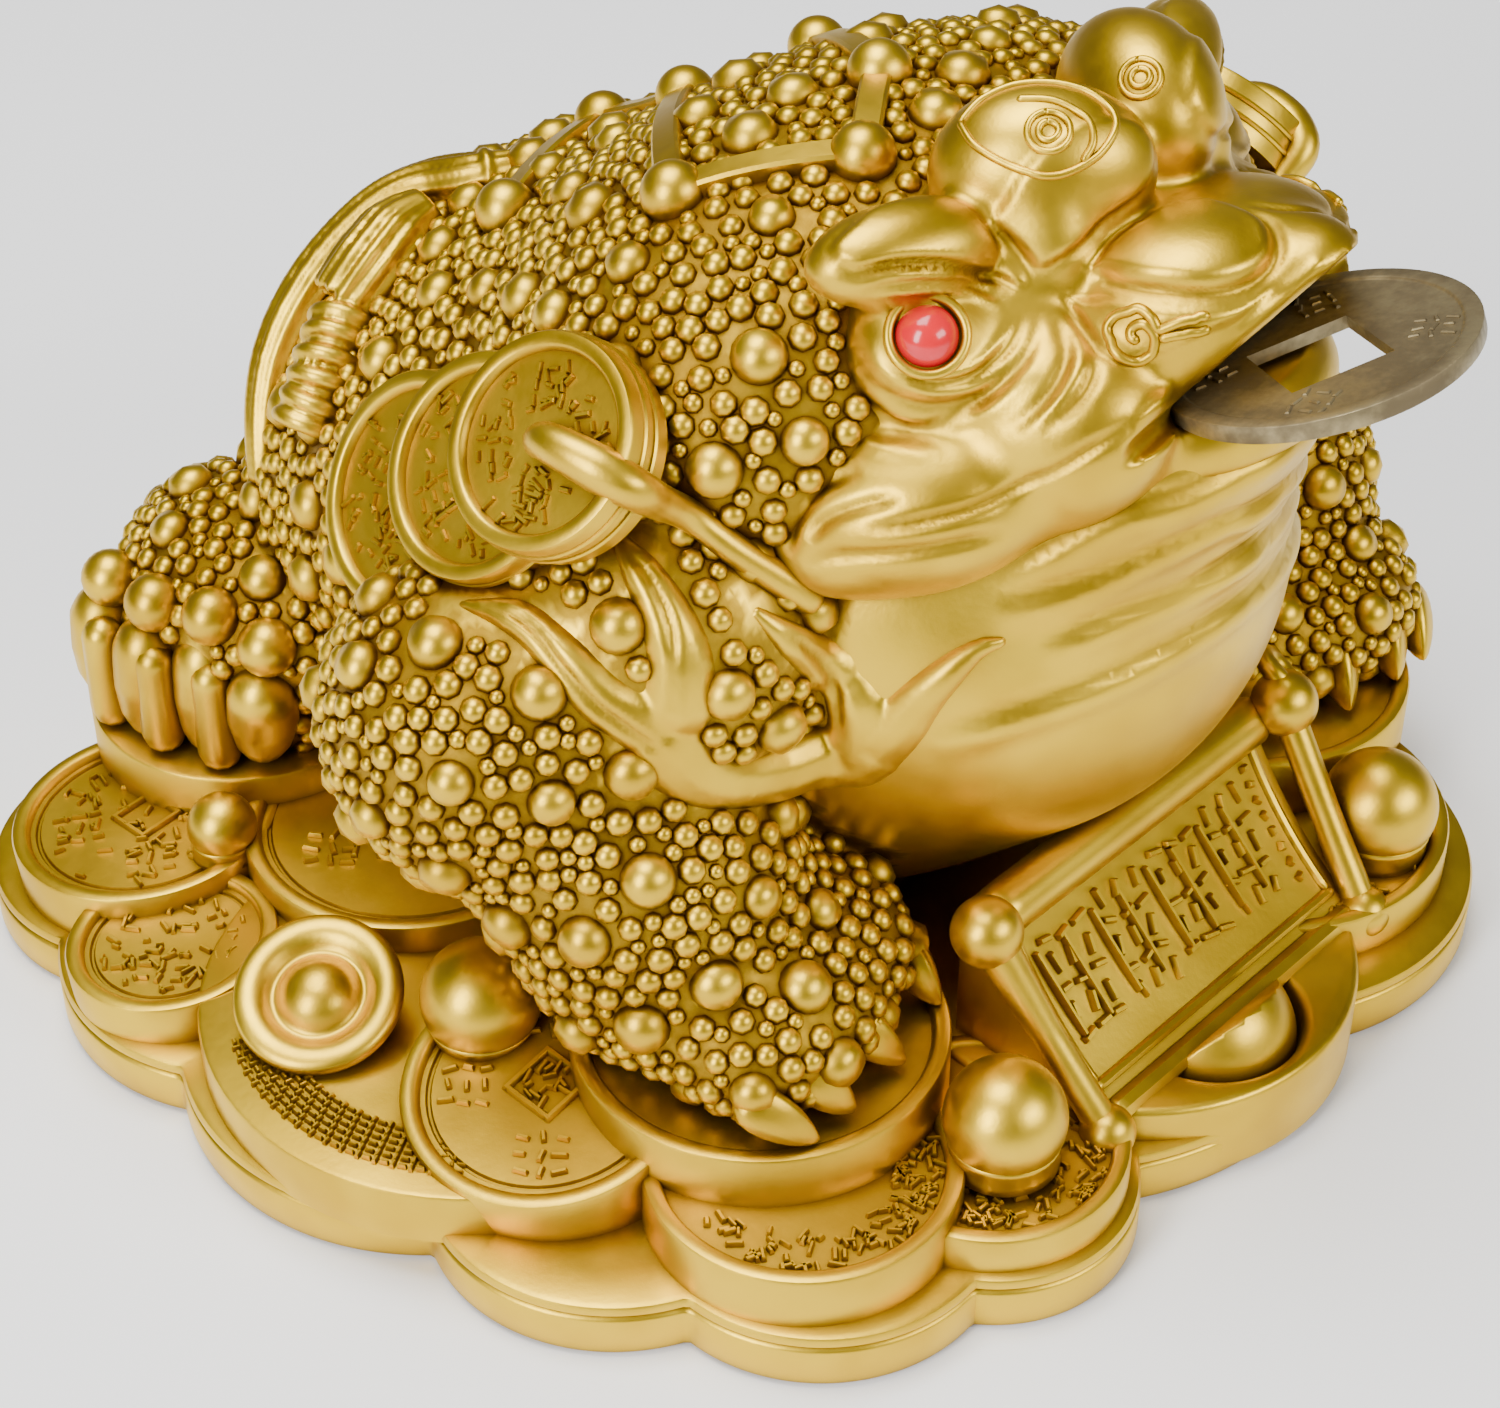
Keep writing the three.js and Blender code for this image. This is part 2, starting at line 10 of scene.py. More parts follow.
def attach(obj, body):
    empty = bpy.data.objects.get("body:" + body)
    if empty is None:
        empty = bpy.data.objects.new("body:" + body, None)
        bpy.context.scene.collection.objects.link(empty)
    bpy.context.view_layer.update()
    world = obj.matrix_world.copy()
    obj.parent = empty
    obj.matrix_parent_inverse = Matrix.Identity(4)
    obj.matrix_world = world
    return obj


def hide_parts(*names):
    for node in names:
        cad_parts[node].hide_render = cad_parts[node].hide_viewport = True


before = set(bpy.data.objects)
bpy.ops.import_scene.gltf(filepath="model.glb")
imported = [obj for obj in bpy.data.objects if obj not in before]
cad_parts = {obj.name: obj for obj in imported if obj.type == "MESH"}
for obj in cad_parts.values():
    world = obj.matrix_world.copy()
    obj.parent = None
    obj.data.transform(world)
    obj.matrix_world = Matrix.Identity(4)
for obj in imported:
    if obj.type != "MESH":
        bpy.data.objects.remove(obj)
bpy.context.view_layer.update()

MM = 0.001
SIDES = (1, -1)  # the toad's right side first, which is -X
CAST_NODE = "toad_and_coin_bed"

# The photograph.
PHOTO_WIDTH = 1500
PHOTO_FOCUS = 3100  # focal length in photograph pixels
SENSOR = 36
LOOK_AT = Vector((-19, -9.5, 31.6))
CAMERA_DISTANCE = 250
TOWARDS_CAMERA = Vector((-0.5763, -0.5374, 0.6157))

# The bed of coins.
BED_TIER = 5.3
BED_TOP = 10
DISC_TOP = 14.4
RIM_WIDTH = 1.3
RIM_HEIGHT = 0.7

# The head stands on its own axes, turned to the toad's left.
HEAD_TURN = math.radians(7)
HEAD_PLACE = Matrix.Translation((-1.5, 0, 0)) @ Matrix.Rotation(HEAD_TURN, 4, "Z")


# Soft forms: lumps blended into each other, as signed distances in millimetres.


def lump(centre, radii, pitch=0, yaw=0):
    """A rounded lump, pitched about X and then yawed about Z."""
    centre = np.array(centre, float)
    radii = np.array(radii, float)
    yaw_turn = Matrix.Rotation(math.radians(yaw), 3, "Z")
    axes = np.array(yaw_turn @ Matrix.Rotation(math.radians(pitch), 3, "X"))

    def distance(points):
        local = (points - centre) @ axes
        near = np.linalg.norm(local / radii, axis=1)
        steep = np.maximum(np.linalg.norm(local / radii**2, axis=1), 1e-9)
        return near * (near - 1) / steep

    return distance


def pair(centre, radii, pitch=0, yaw=0):
    """The same lump on both sides."""
    x, y, z = centre
    return [lump((x * side, y, z), radii, pitch, yaw * side) for side in SIDES]


def blend(lumps, softness):
    """Lumps run into each other like clay."""

    def distance(points):
        best = np.full(len(points), 1e3)
        for one in lumps:
            d = one(points)
            overlap = np.maximum(softness - np.abs(best - d), 0) / softness
            best = np.minimum(best, d) - overlap**2 * softness / 4
        return best

    return distance


TRUNK = blend(
    [
        lump((0, 12, 40), (37, 40, 27), pitch=-30),
        lump((0, -8, 60), (35.5, 22, 19), pitch=-10),
        lump((0, 32, 30), (30, 21, 24)),
    ],
    10,
)
THROAT = blend(
    [
        lump((0, -14, 42.5), (28, 27.5, 26.5)),
        lump((1, -30, 58), (15, 14, 9), pitch=-20),
        lump((0, -6, 23), (25, 19, 15)),
    ],
    8,
)
HEAD = blend(
    [
        lump((0, -19, 66.5), (22, 16.5, 12), pitch=-16),
        lump((0, -33, 70.3), (13.2, 12, 6.8), pitch=-24),
        lump((0, -41, 75.2), (4.5, 5.2, 3.2), pitch=-20),
        lump((0, -33.5, 61.5), (12.8, 11.5, 6.5), pitch=-18),
        *pair((-13, -28, 63.5), (8, 12, 8.5), pitch=-24),
        *pair((-18.5, -22, 59), (10, 12, 7.5), pitch=-16, yaw=30),
        *pair((-24, -18.5, 56.2), (5.5, 6.5, 3.8)),
        *pair((-18.9, -20.4, 77.6), (7.2, 3.8, 3.5), yaw=-29),
        *pair((-18, -21.9, 70.1), (5.6, 5.6, 5.6)),
        *pair((-6.6, -24.3, 79.8), (5.7, 8.2, 6.6), yaw=38),
        lump((-5.6, -34.6, 74.2), (6, 7, 4), pitch=-14, yaw=10),
        lump((4.8, -34.6, 73.0), (5, 7, 3.4), pitch=-14, yaw=-10),
        *pair((-9.8, -26.0, 76.2), (3.4, 4.4, 4.6)),
    ],
    1.6,
)
LEFT_FOOT_SPREAD = 4.5
FINGERS = [(-39.6, -28), (-35.7, -29), (-30.6, -28.4), (-23.8, -26)]


def front_leg(side):
    def at(x, y, z, share=0.0):
        return ((x - (LEFT_FOOT_SPREAD * share if side < 0 else 0)) * side, y, z)

    return blend(
        [
            lump(at(-42, -3.5, 40, -0.5), (12, 13, 12.5)),
            lump(at(-36.5, -14.5, 28, 1), (11.5, 12, 12)),
            lump(at(-31.5, -18.5, 20, 1), (13.5, 10.5, 7)),
            lump(at(-30, -11, 47), (13, 13, 13)),
            *[lump(at(x, y, 18.8, 1), (3.3, 3.6, 3.3)) for x, y in FINGERS],
        ],
        6,
    )


HIND_FINGERS = [(-36.6, 47.4), (-37.2, 41.6), (-35.4, 37.0), (-33.8, 33.0)]


def hind_leg(side):
    return blend(
        [
            lump((-28.5 * side, 38, 25.8), (12.7, 15.3, 8.5)),
            lump((-28.6 * side, 39.0, 18), (9.0, 11.0, 7)),
            *[lump((x * side, y, 19), (2.5, 3.1, 6.2)) for x, y in HIND_FINGERS],
        ],
        4,
    )


# Modelling helpers.

GROWING_ROUNDS = 70
STROKE_STEP = 0.3


def clear():
    bpy.ops.object.select_all(action="DESELECT")


def pick(*objects):
    clear()
    for one in objects:
        one.select_set(True)
    bpy.context.view_layer.objects.active = objects[0]
    return objects[0]


def joined(objects):
    pick(*objects)
    bpy.ops.object.join()
    return bpy.context.object


def points_of(piece):
    points = np.empty(len(piece.data.vertices) * 3)
    piece.data.vertices.foreach_get("co", points)
    return points.reshape(-1, 3)


def set_points(piece, points):
    piece.data.vertices.foreach_set("co", np.asarray(points, np.float32).ravel())
    piece.data.update()


def mesh_piece(points, faces):
    mesh = bpy.data.meshes.new("blank")
    mesh.from_pydata([tuple(p) for p in points], [], faces)
    mesh.update()
    piece = bpy.data.objects.new("blank", mesh)
    bpy.context.collection.objects.link(piece)
    return piece


def modified(piece, kind, **settings):
    pick(piece)
    modifier = piece.modifiers.new(kind.lower(), kind)
    for name, value in settings.items():
        setattr(modifier, name, value)
    bpy.ops.object.modifier_apply(modifier=modifier.name)
    return piece


def lay(piece, place, normal=(0, 0, 1)):
    """Moves a shape built on the Z axis to a place, its top facing along a direction."""
    tilt = Vector((0, 0, 1)).rotation_difference(Vector(normal)).to_matrix().to_4x4()
    piece.data.transform(Matrix.Translation(place) @ tilt)
    return piece


def faced_out(piece, merge=False):
    """Turns all faces outwards, with doubled points merged first where asked."""
    pick(piece)
    bpy.ops.object.mode_set(mode="EDIT")
    bpy.ops.mesh.select_all(action="SELECT")
    if merge:
        bpy.ops.mesh.remove_doubles(threshold=0.001)
    bpy.ops.mesh.normals_make_consistent(inside=False)
    bpy.ops.object.mode_set(mode="OBJECT")
    return piece


def mirrored(points, side):
    return [(x * side, y, z) for x, y, z in points]


def turned(profile, steps):
    """Spins a profile of (radius, height) corners once round the Z axis."""
    mesh = bpy.data.meshes.new("blank")
    edges = [(i, i + 1) for i in range(len(profile) - 1)]
    mesh.from_pydata([(r, 0, h) for r, h in profile], edges, [])
    piece = bpy.data.objects.new("blank", mesh)
    bpy.context.collection.objects.link(piece)
    pick(piece)
    bpy.ops.object.mode_set(mode="EDIT")
    bpy.ops.mesh.select_all(action="SELECT")
    bpy.ops.mesh.spin(steps=steps, angle=2 * math.pi, center=(0, 0, 0), axis=(0, 0, 1))
    bpy.ops.object.mode_set(mode="OBJECT")
    return faced_out(piece, merge=True)


def softened(piece, width, segments):
    """Rounds the sharp edges of a piece."""
    edges = {"limit_method": "ANGLE", "angle_limit": math.radians(30)}
    return modified(piece, "BEVEL", width=width, segments=segments, **edges)


def ball(centre, radius, detail=4):
    clear()
    bpy.ops.mesh.primitive_ico_sphere_add(subdivisions=detail, radius=radius)
    piece = bpy.context.object
    piece.data.transform(Matrix.Translation(centre))
    return piece


def smooth_line(points, step=0.4):
    """Points at even steps along a smooth line through the given ones."""
    p = np.array(points, float)
    if len(p) == 2:
        count = max(2, int(np.linalg.norm(p[1] - p[0]) / step))
        return p[0] + (p[1] - p[0]) * np.linspace(0, 1, count)[:, None]
    ends = np.vstack([2 * p[0] - p[1], p, 2 * p[-1] - p[-2]])
    run = []
    for i in range(1, len(ends) - 2):
        a, b, c, d = ends[i - 1], ends[i], ends[i + 1], ends[i + 2]
        count = max(2, int(np.linalg.norm(c - b) / step))
        t = np.linspace(0, 1, count, endpoint=False)[:, None]
        bend = (2 * a - 5 * b + 4 * c - d) * t**2 + (3 * b - a - 3 * c + d) * t**3
        run.append(0.5 * (2 * b + (c - a) * t + bend))
    return np.vstack([*run, p[-1:]])


def tube(points, radii, step=0.5, sides=3, round_ends=True):
    """A rod along a smooth line, its radius set at even stations, with rounded ends."""
    line = smooth_line(points, step)
    place = np.linspace(0, len(radii) - 1, len(line))
    radius = np.interp(place, np.arange(len(radii)), radii)
    lengths = np.concatenate([[0], np.cumsum(np.linalg.norm(np.diff(line, axis=0), axis=1))])
    if round_ends:
        end = np.minimum(lengths, lengths[-1] - lengths) / np.maximum(radius, 1e-6)
        radius = radius * np.sqrt(np.clip(1 - (1 - np.clip(end + 0.02, 0, 1)) ** 2, 0, 1))
    curve = bpy.data.curves.new("blank", "CURVE")
    curve.dimensions = "3D"
    curve.twist_mode = "MINIMUM"
    curve.bevel_depth = 1
    curve.bevel_resolution = sides
    curve.use_fill_caps = True
    spline = curve.splines.new("POLY")
    spline.points.add(len(line) - 1)
    for point, co, r in zip(spline.points, line, radius):
        point.co = (*co, 1)
        point.radius = max(float(r), 0.02)
    piece = bpy.data.objects.new("blank", curve)
    bpy.context.collection.objects.link(piece)
    pick(piece)
    bpy.ops.object.convert(target="MESH")
    return faced_out(bpy.context.object, merge=True)


def grown(distance, centre, reach, detail):
    """A ball grown out from its centre to where a soft form ends."""
    piece = ball((0, 0, 0), 1, detail)
    rays = points_of(piece)
    rays /= np.linalg.norm(rays, axis=1)[:, None]
    reached = np.full(len(rays), float(reach))
    for _ in range(GROWING_ROUNDS):
        d = distance(np.array(centre) + rays * reached[:, None])
        reached = np.where(d > 0.01, reached - 0.7 * d, reached)
    set_points(piece, np.array(centre) + rays * np.maximum(reached, 1)[:, None])
    return piece


def remeshed(piece, voxel, rounds):
    """One closed skin over overlapping shapes, with the steps smoothed away."""
    modified(piece, "REMESH", mode="VOXEL", voxel_size=voxel)
    return modified(piece, "SMOOTH", factor=0.5, iterations=rounds)


def skin(points):
    """Distance from the body's skin, before warts and claws."""
    return np.min([field(points) for field in FIELDS.values()], axis=0)


def normals_of(distance, points, step=0.25):
    rises = [distance(points + step * axis) - distance(points - step * axis) for axis in np.eye(3)]
    normals = np.stack(rises, axis=1)
    return normals / np.maximum(np.linalg.norm(normals, axis=1), 1e-9)[:, None]


def ridge(points, widths, height, distance=skin, step=0.6):
    """A rod sunk into a soft form so that a low rounded ridge stands out of it."""
    line = smooth_line(points, step)
    share = np.linspace(0, len(widths) - 1, len(line))
    width = np.interp(share, np.arange(len(widths)), widths)
    rise = np.minimum(height, width * 0.8)
    radius = (width**2 + rise**2) / (2 * rise)
    line = line - normals_of(distance, line) * (radius - rise)[:, None]
    return tube(line, list(radius), step=step, sides=4)


def between(a, b):
    """A line halfway between two lines."""
    lines = []
    for points in (a, b):
        line = smooth_line(points, 0.2)
        lines.append(line[np.linspace(0, len(line) - 1, 14).astype(int)])
    return (lines[0] + lines[1]) / 2


def set_shade_marks(piece, values):
    """Keeps how deep each point lies between raised work, for the paint to darken there as painted shade.
    """
    if "recess" not in piece.data.attributes:
        piece.data.attributes.new("recess", "FLOAT", "POINT")
    piece.data.attributes["recess"].data.foreach_set("value", np.asarray(values, np.float32))


class Clay:
    """The points of a piece while it is sculpted by strokes."""

    def __init__(self, piece, form):
        self.piece = piece
        self.form = form
        self.points = points_of(piece)
        # How deep each point lies, which the paint darkens as painted shade.
        self.marks = np.zeros(len(self.points))
        self.read_normals()

    def read_normals(self):
        normals = np.empty(len(self.points) * 3)
        self.piece.data.vertices.foreach_get("normal", normals)
        self.normals = normals.reshape(-1, 3)
        self.tree = KDTree(len(self.points))
        for i, point in enumerate(self.points):
            self.tree.insert(point, i)
        self.tree.balance()

    def on_skin(self, line):
        """A line laid onto the skin as it stands now."""
        line = np.array(line, float)
        nearest = np.array([self.tree.find(p)[1] for p in line])
        away = np.einsum("ij,ij->i", line - self.points[nearest], self.normals[nearest])
        if len(away) > 7:
            away = np.convolve(np.pad(away, 3, mode="edge"), np.full(7, 1 / 7), mode="valid")
        return line - self.normals[nearest] * away[:, None]

    def settle(self):
        set_points(self.piece, self.points)
        set_shade_marks(self.piece, np.clip(self.marks, 0, 1))
        self.read_normals()

    def near(self, line, reach):
        """Points within reach of a line: their indices, distances, and places along it."""
        low, high = line.min(0) - reach, line.max(0) + reach
        index = np.flatnonzero(((self.points > low) & (self.points < high)).all(1))
        tree = KDTree(len(line))
        for i, p in enumerate(line):
            tree.insert(p, i)
        tree.balance()
        found = [tree.find(self.points[i]) for i in index]
        close = np.array([d for _, _, d in found]) < reach if found else np.zeros(0, bool)
        index = index[close]
        nearest = np.array([j for _, j, _ in found], int)[close]
        gap = np.linalg.norm(self.points[index] - line[nearest], axis=1)
        return index, gap, nearest / max(len(line) - 1, 1)

    def push(self, index, amount, shade_mark=0.0):
        """Moves points along their normals and marks how deep they come to lie, for painted shade."""
        self.points[index] += self.normals[index] * amount[:, None]
        self.marks[index] += shade_mark

    def stroke(self, points, width, height, taper, shade_mark=1.0):
        """Pushes the skin out along a line, or in where the height is negative, with painted shade marked
        along a sunk line.
        """
        line = self.on_skin(smooth_line(points, STROKE_STEP))
        index, distance, place = self.near(line, width * 2.6)
        fade = np.clip(np.minimum(place, 1 - place) / taper, 0, 1)
        form = np.exp(-((distance / width) ** 2)) * fade
        self.push(index, height * form, shade_mark * form * (height < 0))

    def fold(self, points, width, depth, lift, flip):
        """A crease with a roll of skin standing along one side of it."""
        line = smooth_line(points, STROKE_STEP)
        across = np.cross(np.gradient(line, axis=0), normals_of(self.form, line))
        across /= np.maximum(np.linalg.norm(across, axis=1), 1e-9)[:, None]
        self.stroke(line + across * flip * width * 2.4, width * 2.4, lift, taper=0.15)
        # The crease itself is marked for painted shade.
        self.stroke(line, width, -depth, taper=0.15, shade_mark=0.5)

    def pad(self, outline, lift, soft):
        """Lifts everything inside an outline, with a soft edge just within it."""
        edge = self.on_skin(smooth_line([*outline, outline[0]], 0.4))
        middle = edge.mean(0)
        out = normals_of(self.form, edge).mean(0)
        out /= np.linalg.norm(out)
        first = np.cross(out, (0, 0, 1))
        first /= np.linalg.norm(first)
        axes = np.stack([first, np.cross(out, first)], axis=1)
        reach = np.linalg.norm(edge - middle, axis=1).max()
        close = np.linalg.norm(self.points - middle, axis=1) < reach + 1
        index = np.flatnonzero(close & (self.normals @ out > 0.1))
        spots = (self.points[index] - middle) @ axes
        flat = (edge - middle) @ axes
        gap = np.linalg.norm(spots[:, None] - flat[None], axis=2).min(1)
        inside = np.zeros(len(spots), bool)
        for (x0, y0), (x1, y1) in zip(flat, np.roll(flat, -1, axis=0)):
            if y0 != y1:
                crosses = (y0 > spots[:, 1]) != (y1 > spots[:, 1])
                inside ^= crosses & (spots[:, 0] < (x1 - x0) * (spots[:, 1] - y0) / (y1 - y0) + x0)
        share = np.clip(gap / soft, 0, 1) * inside
        self.push(index, lift * share * share * (3 - 2 * share))


# Shader nodes.


class Wire:
    """An output socket of a node that can be used in sums."""

    def __init__(self, paint, socket):
        self.paint, self.socket = paint, socket

    def sum_with(self, operation, *values):
        return self.paint.node("ShaderNodeMath", {"operation": operation}, dict(enumerate(values)))

    def __add__(self, other):
        return self.sum_with("ADD", self, other)

    def __sub__(self, other):
        return self.sum_with("SUBTRACT", self, other)

    def __rsub__(self, other):
        return self.sum_with("SUBTRACT", other, self)

    def __mul__(self, other):
        return self.sum_with("MULTIPLY", self, other)

    def clipped(self):
        return self.paint.node("ShaderNodeClamp", {}, {0: self})

    __radd__ = __add__
    __rmul__ = __mul__


class Paint:
    """One material, built up node by node."""

    def __init__(self, name, **shader):
        self.material = bpy.data.materials.new(name)
        self.material.use_nodes = True
        self.tree = self.material.node_tree
        self.shader = self.tree.nodes["Principled BSDF"]
        for socket, value in shader.items():
            self.set(socket.replace("_", " "), value)

    def set(self, socket, value):
        if isinstance(value, Wire):
            self.tree.links.new(value.socket, self.shader.inputs[socket])
        else:
            self.shader.inputs[socket].default_value = value

    def node(self, kind, settings=None, sockets=None, output=0):
        """Any node: its type, its settings, what its sockets hold, and the output that is used."""
        node = self.tree.nodes.new(kind)
        for name, value in (settings or {}).items():
            setattr(node, name, value)
        for key, value in (sockets or {}).items():
            if isinstance(value, Wire):
                self.tree.links.new(value.socket, node.inputs[key])
            else:
                node.inputs[key].default_value = value
        return Wire(self, node.outputs[output])

    def place(self):
        return self.node("ShaderNodeTexCoord", output="Object")

    def noise(self, scale, detail=3.0, roughness=0.55):
        sockets = {"Vector": self.place(), "Scale": scale, "Detail": detail, "Roughness": roughness}
        return self.node("ShaderNodeTexNoise", {}, sockets)

    def mix(self, factor, a, b):
        """Two colours mixed."""
        return self.node("ShaderNodeMix", {"data_type": "RGBA"}, {0: factor, 6: a, 7: b}, output=2)

    def ramp(self, value, low, high):
        """A soft step from 0 at low to 1 at high."""
        settings = {"interpolation_type": "SMOOTHSTEP"}
        return self.node("ShaderNodeMapRange", settings, {0: value, 1: low, 2: high})

    def bump(self, strength, distance, height):
        sockets = {"Strength": strength, "Distance": distance * MM, "Height": height}
        self.set("Normal", self.node("ShaderNodeBump", {}, sockets, output="Normal"))


GOLD_LIGHT = (0.74, 0.485, 0.02, 1)
GOLD_DEEP = (0.60, 0.37, 0.012, 1)
# Amber brown painted as shade in hollows, creases and between warts.
AMBER_SHADE = (0.13, 0.055, 0.003, 1)
BRASS_LIGHT = (0.36, 0.29, 0.15, 1)
BRASS_DARK = (0.15, 0.115, 0.06, 1)
RED_LIGHT = (0.72, 0.008, 0.018, 1)
RED_DEEP = (0.55, 0.005, 0.012, 1)
# How far away a surface can be and still cast the painted shade.
SHADE_REACH = 1.8


def gold_paint():
    """Satin gold paint, with amber brown shade painted wherever it lies deep."""
    paint = Paint("satin_gold", Metallic=1.0, Roughness=0.36)
    cloud = paint.noise(90, 2.0)
    streak = paint.noise(700, 3.0)
    reach = {"Distance": SHADE_REACH * MM}
    # Painted shade: amber where nearby surfaces close in, and where the mesh is marked as a crease or a gap
    # between warts.
    open_sky = paint.node("ShaderNodeAmbientOcclusion", {"samples": 6}, reach, output="AO")
    shade_mark = paint.node("ShaderNodeAttribute", {"attribute_name": "recess"}, output="Fac")
    recess = (paint.ramp(open_sky, 0.88, 0.30) * 0.8 + shade_mark * (0.32 + streak * 0.5)).clipped()
    body = paint.mix(paint.ramp(cloud, 0.36, 0.68), GOLD_LIGHT, GOLD_DEEP)
    # The painted shade turns the gold toward amber brown.
    paint.set("Base Color", paint.mix(recess, body, AMBER_SHADE))
    paint.set("Roughness", 0.33 + recess * 0.22 + streak * 0.10)
    paint.bump(0.3, 0.04, paint.noise(2200, 2.0))
    return paint.material


def brass_paint():
    paint = Paint("aged_brass", Metallic=0.8, Roughness=0.42)
    patch = paint.noise(160, 4.0, 0.65)
    speck = paint.noise(1200, 3.0)
    tarnish = paint.ramp(patch + speck * 0.35, 0.42, 0.85)
    paint.set("Base Color", paint.mix(tarnish, BRASS_LIGHT, BRASS_DARK))
    paint.set("Roughness", 0.34 + tarnish * 0.22)
    paint.bump(0.5, 0.07, speck)
    return paint.material


def bead_paint():
    paint = Paint("red_bead", Roughness=0.2, Coat_Weight=0.2)
    tone = paint.noise(300, 1.0)
    paint.set("Base Color", paint.mix(tone, RED_LIGHT, RED_DEEP))
    return paint.material


GOLD = gold_paint()
BRASS = brass_paint()
RED = bead_paint()


def finish(piece, name, material=GOLD, stands_for=CAST_NODE, angle=40):
    """Turns a piece into metres, names and paints it, hangs it on the root body and hides the part it
    stands for.
    """
    piece.name = name
    piece.data.name = name
    piece.data.transform(Matrix.Scale(MM, 4))
    piece.data.materials.clear()
    piece.data.materials.append(material)
    pick(piece)
    if angle:
        bpy.ops.object.shade_smooth_by_angle(angle=math.radians(angle))
    else:
        bpy.ops.object.shade_smooth()
    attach(piece, "root")
    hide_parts(stands_for)
    return piece


# Camera, floor and lights.

FLOOR_SIZE = 6
FLOOR_DROP = 0.0002
LIGHT_AIM = Vector((0, 0, 0.035))
WORLD_STRENGTH = 0.17
# Each soft light's name, place, size and power.
SOFTBOXES = [
    ("top_box", (-0.05, 0.10, 0.62), (0.42, 0.32), 5.3),
    ("left_box", (-0.62, -0.05, 0.36), (0.2, 0.46), 5.6),
    ("front_box", (0.10, -0.62, 0.40), (0.4, 0.24), 3.6),
]


def set_camera():
    camera = bpy.data.cameras.new("photo_camera")
    camera.sensor_width = SENSOR
    camera.lens = PHOTO_FOCUS * SENSOR / PHOTO_WIDTH
    camera.clip_start = 0.01
    holder = bpy.data.objects.new("photo_camera", camera)
    bpy.context.collection.objects.link(holder)
    holder.location = (LOOK_AT + TOWARDS_CAMERA.normalized() * CAMERA_DISTANCE) * MM
    holder.rotation_euler = (-TOWARDS_CAMERA).to_track_quat("-Z", "Y").to_euler()
    bpy.context.scene.camera = holder


def set_floor():
    clear()
    bpy.ops.mesh.primitive_plane_add(size=FLOOR_SIZE)
    floor = bpy.context.object
    floor.name = "floor"
    floor.location.z = -FLOOR_DROP
    paint = Paint("pale_floor", Base_Color=(0.95, 0.95, 0.95, 1), Roughness=0.8)
    floor.data.materials.append(paint.material)


def softbox(name, place, size, power):
    light = bpy.data.lights.new(name, "AREA")
    light.shape = "RECTANGLE"
    light.size, light.size_y = size
    light.energy = power
    holder = bpy.data.objects.new(name, light)
    bpy.context.collection.objects.link(holder)
    holder.location = place
    holder.rotation_euler = (LIGHT_AIM - Vector(place)).to_track_quat("-Z", "Y").to_euler()


def set_lights():
    world = bpy.data.worlds.new("studio")
    world.use_nodes = True
    world.node_tree.nodes["Background"].inputs["Color"].default_value = (1, 1, 1, 1)
    world.node_tree.nodes["Background"].inputs["Strength"].default_value = WORLD_STRENGTH
    bpy.context.scene.world = world
    for name, place, size, power in SOFTBOXES:
        softbox(name, place, size, power)


# The toad's body.

FIELDS = {
    "trunk": TRUNK,
    "throat": THROAT,
    "right_leg": front_leg(1),
    "left_leg": front_leg(-1),
    "right_thigh": hind_leg(1),
    "left_thigh": hind_leg(-1),
}
# Flame strands over the shoulders: points on the skin, and half widths from end to end.
FLAMES = [
    (
        [
            (-44.4, -3.9, 52.5), (-43.1, -8.8, 53.0), (-42.8, -13.1, 51.6), (-42.2, -16.4, 49.1),
            (-40.2, -19.4, 46.2), (-37.8, -21.0, 41.9), (-33.7, -22.2, 39.3), (-27.5, -24.2, 36.6),
            (-25.0, -25.4, 37.6), (-23.9, -28.3, 41.5), (-22.1, -30.5, 45.9), (-19.5, -32.5, 49.1),
            (-17.6, -34.1, 49.8),
        ],
        [0.3, 1.4, 1.8, 2.2, 2.9, 2.6, 2.4, 2.4, 2.6, 2.6, 2.1, 1.3, 0.4],
    ),
    (
        [
            (-36.0, -11.8, 58.5), (-36.9, -15.5, 57.1), (-37.3, -18.3, 54.8), (-37.8, -20.2, 52.0),
            (-38.5, -20.8, 48.2), (-39.0, -20.4, 45.0),
        ],
        [0.4, 1.4, 1.9, 2.3, 2.6, 2.6],
    ),
    (
        [
            (-31.9, -21.7, 54.2), (-29.6, -23.4, 51.0), (-25.8, -23.9, 46.4), (-25.2, -26.0, 43.3),
            (-25.2, -25.6, 39.3), (-26.0, -24.5, 36.6),
        ],
        [0.4, 1.3, 2.0, 2.3, 2.3, 2.3],
    ),
]
FLAME_GROOVES = [
    [
        (-43.7, -5.8, 52.8), (-42.9, -10.2, 52.8), (-43.0, -13.8, 50.9), (-42.0, -17.2, 48.1),
        (-39.6, -20.2, 45.0),
    ],
    [(-36.4, -13.5, 58.1), (-36.8, -16.4, 56.7), (-37.3, -18.6, 54.5), (-38.1, -20.1, 51.7)],
    [(-30.7, -22.9, 52.2), (-27.2, -23.7, 47.5), (-25.7, -24.7, 43.9), (-25.6, -25.1, 40.7)],
]
SHOULDER_WARTS = [(-39.8, -16.0, 54.0), (-30.8, -23.6, 43.7), (-41.4, -18.6, 42.9)]
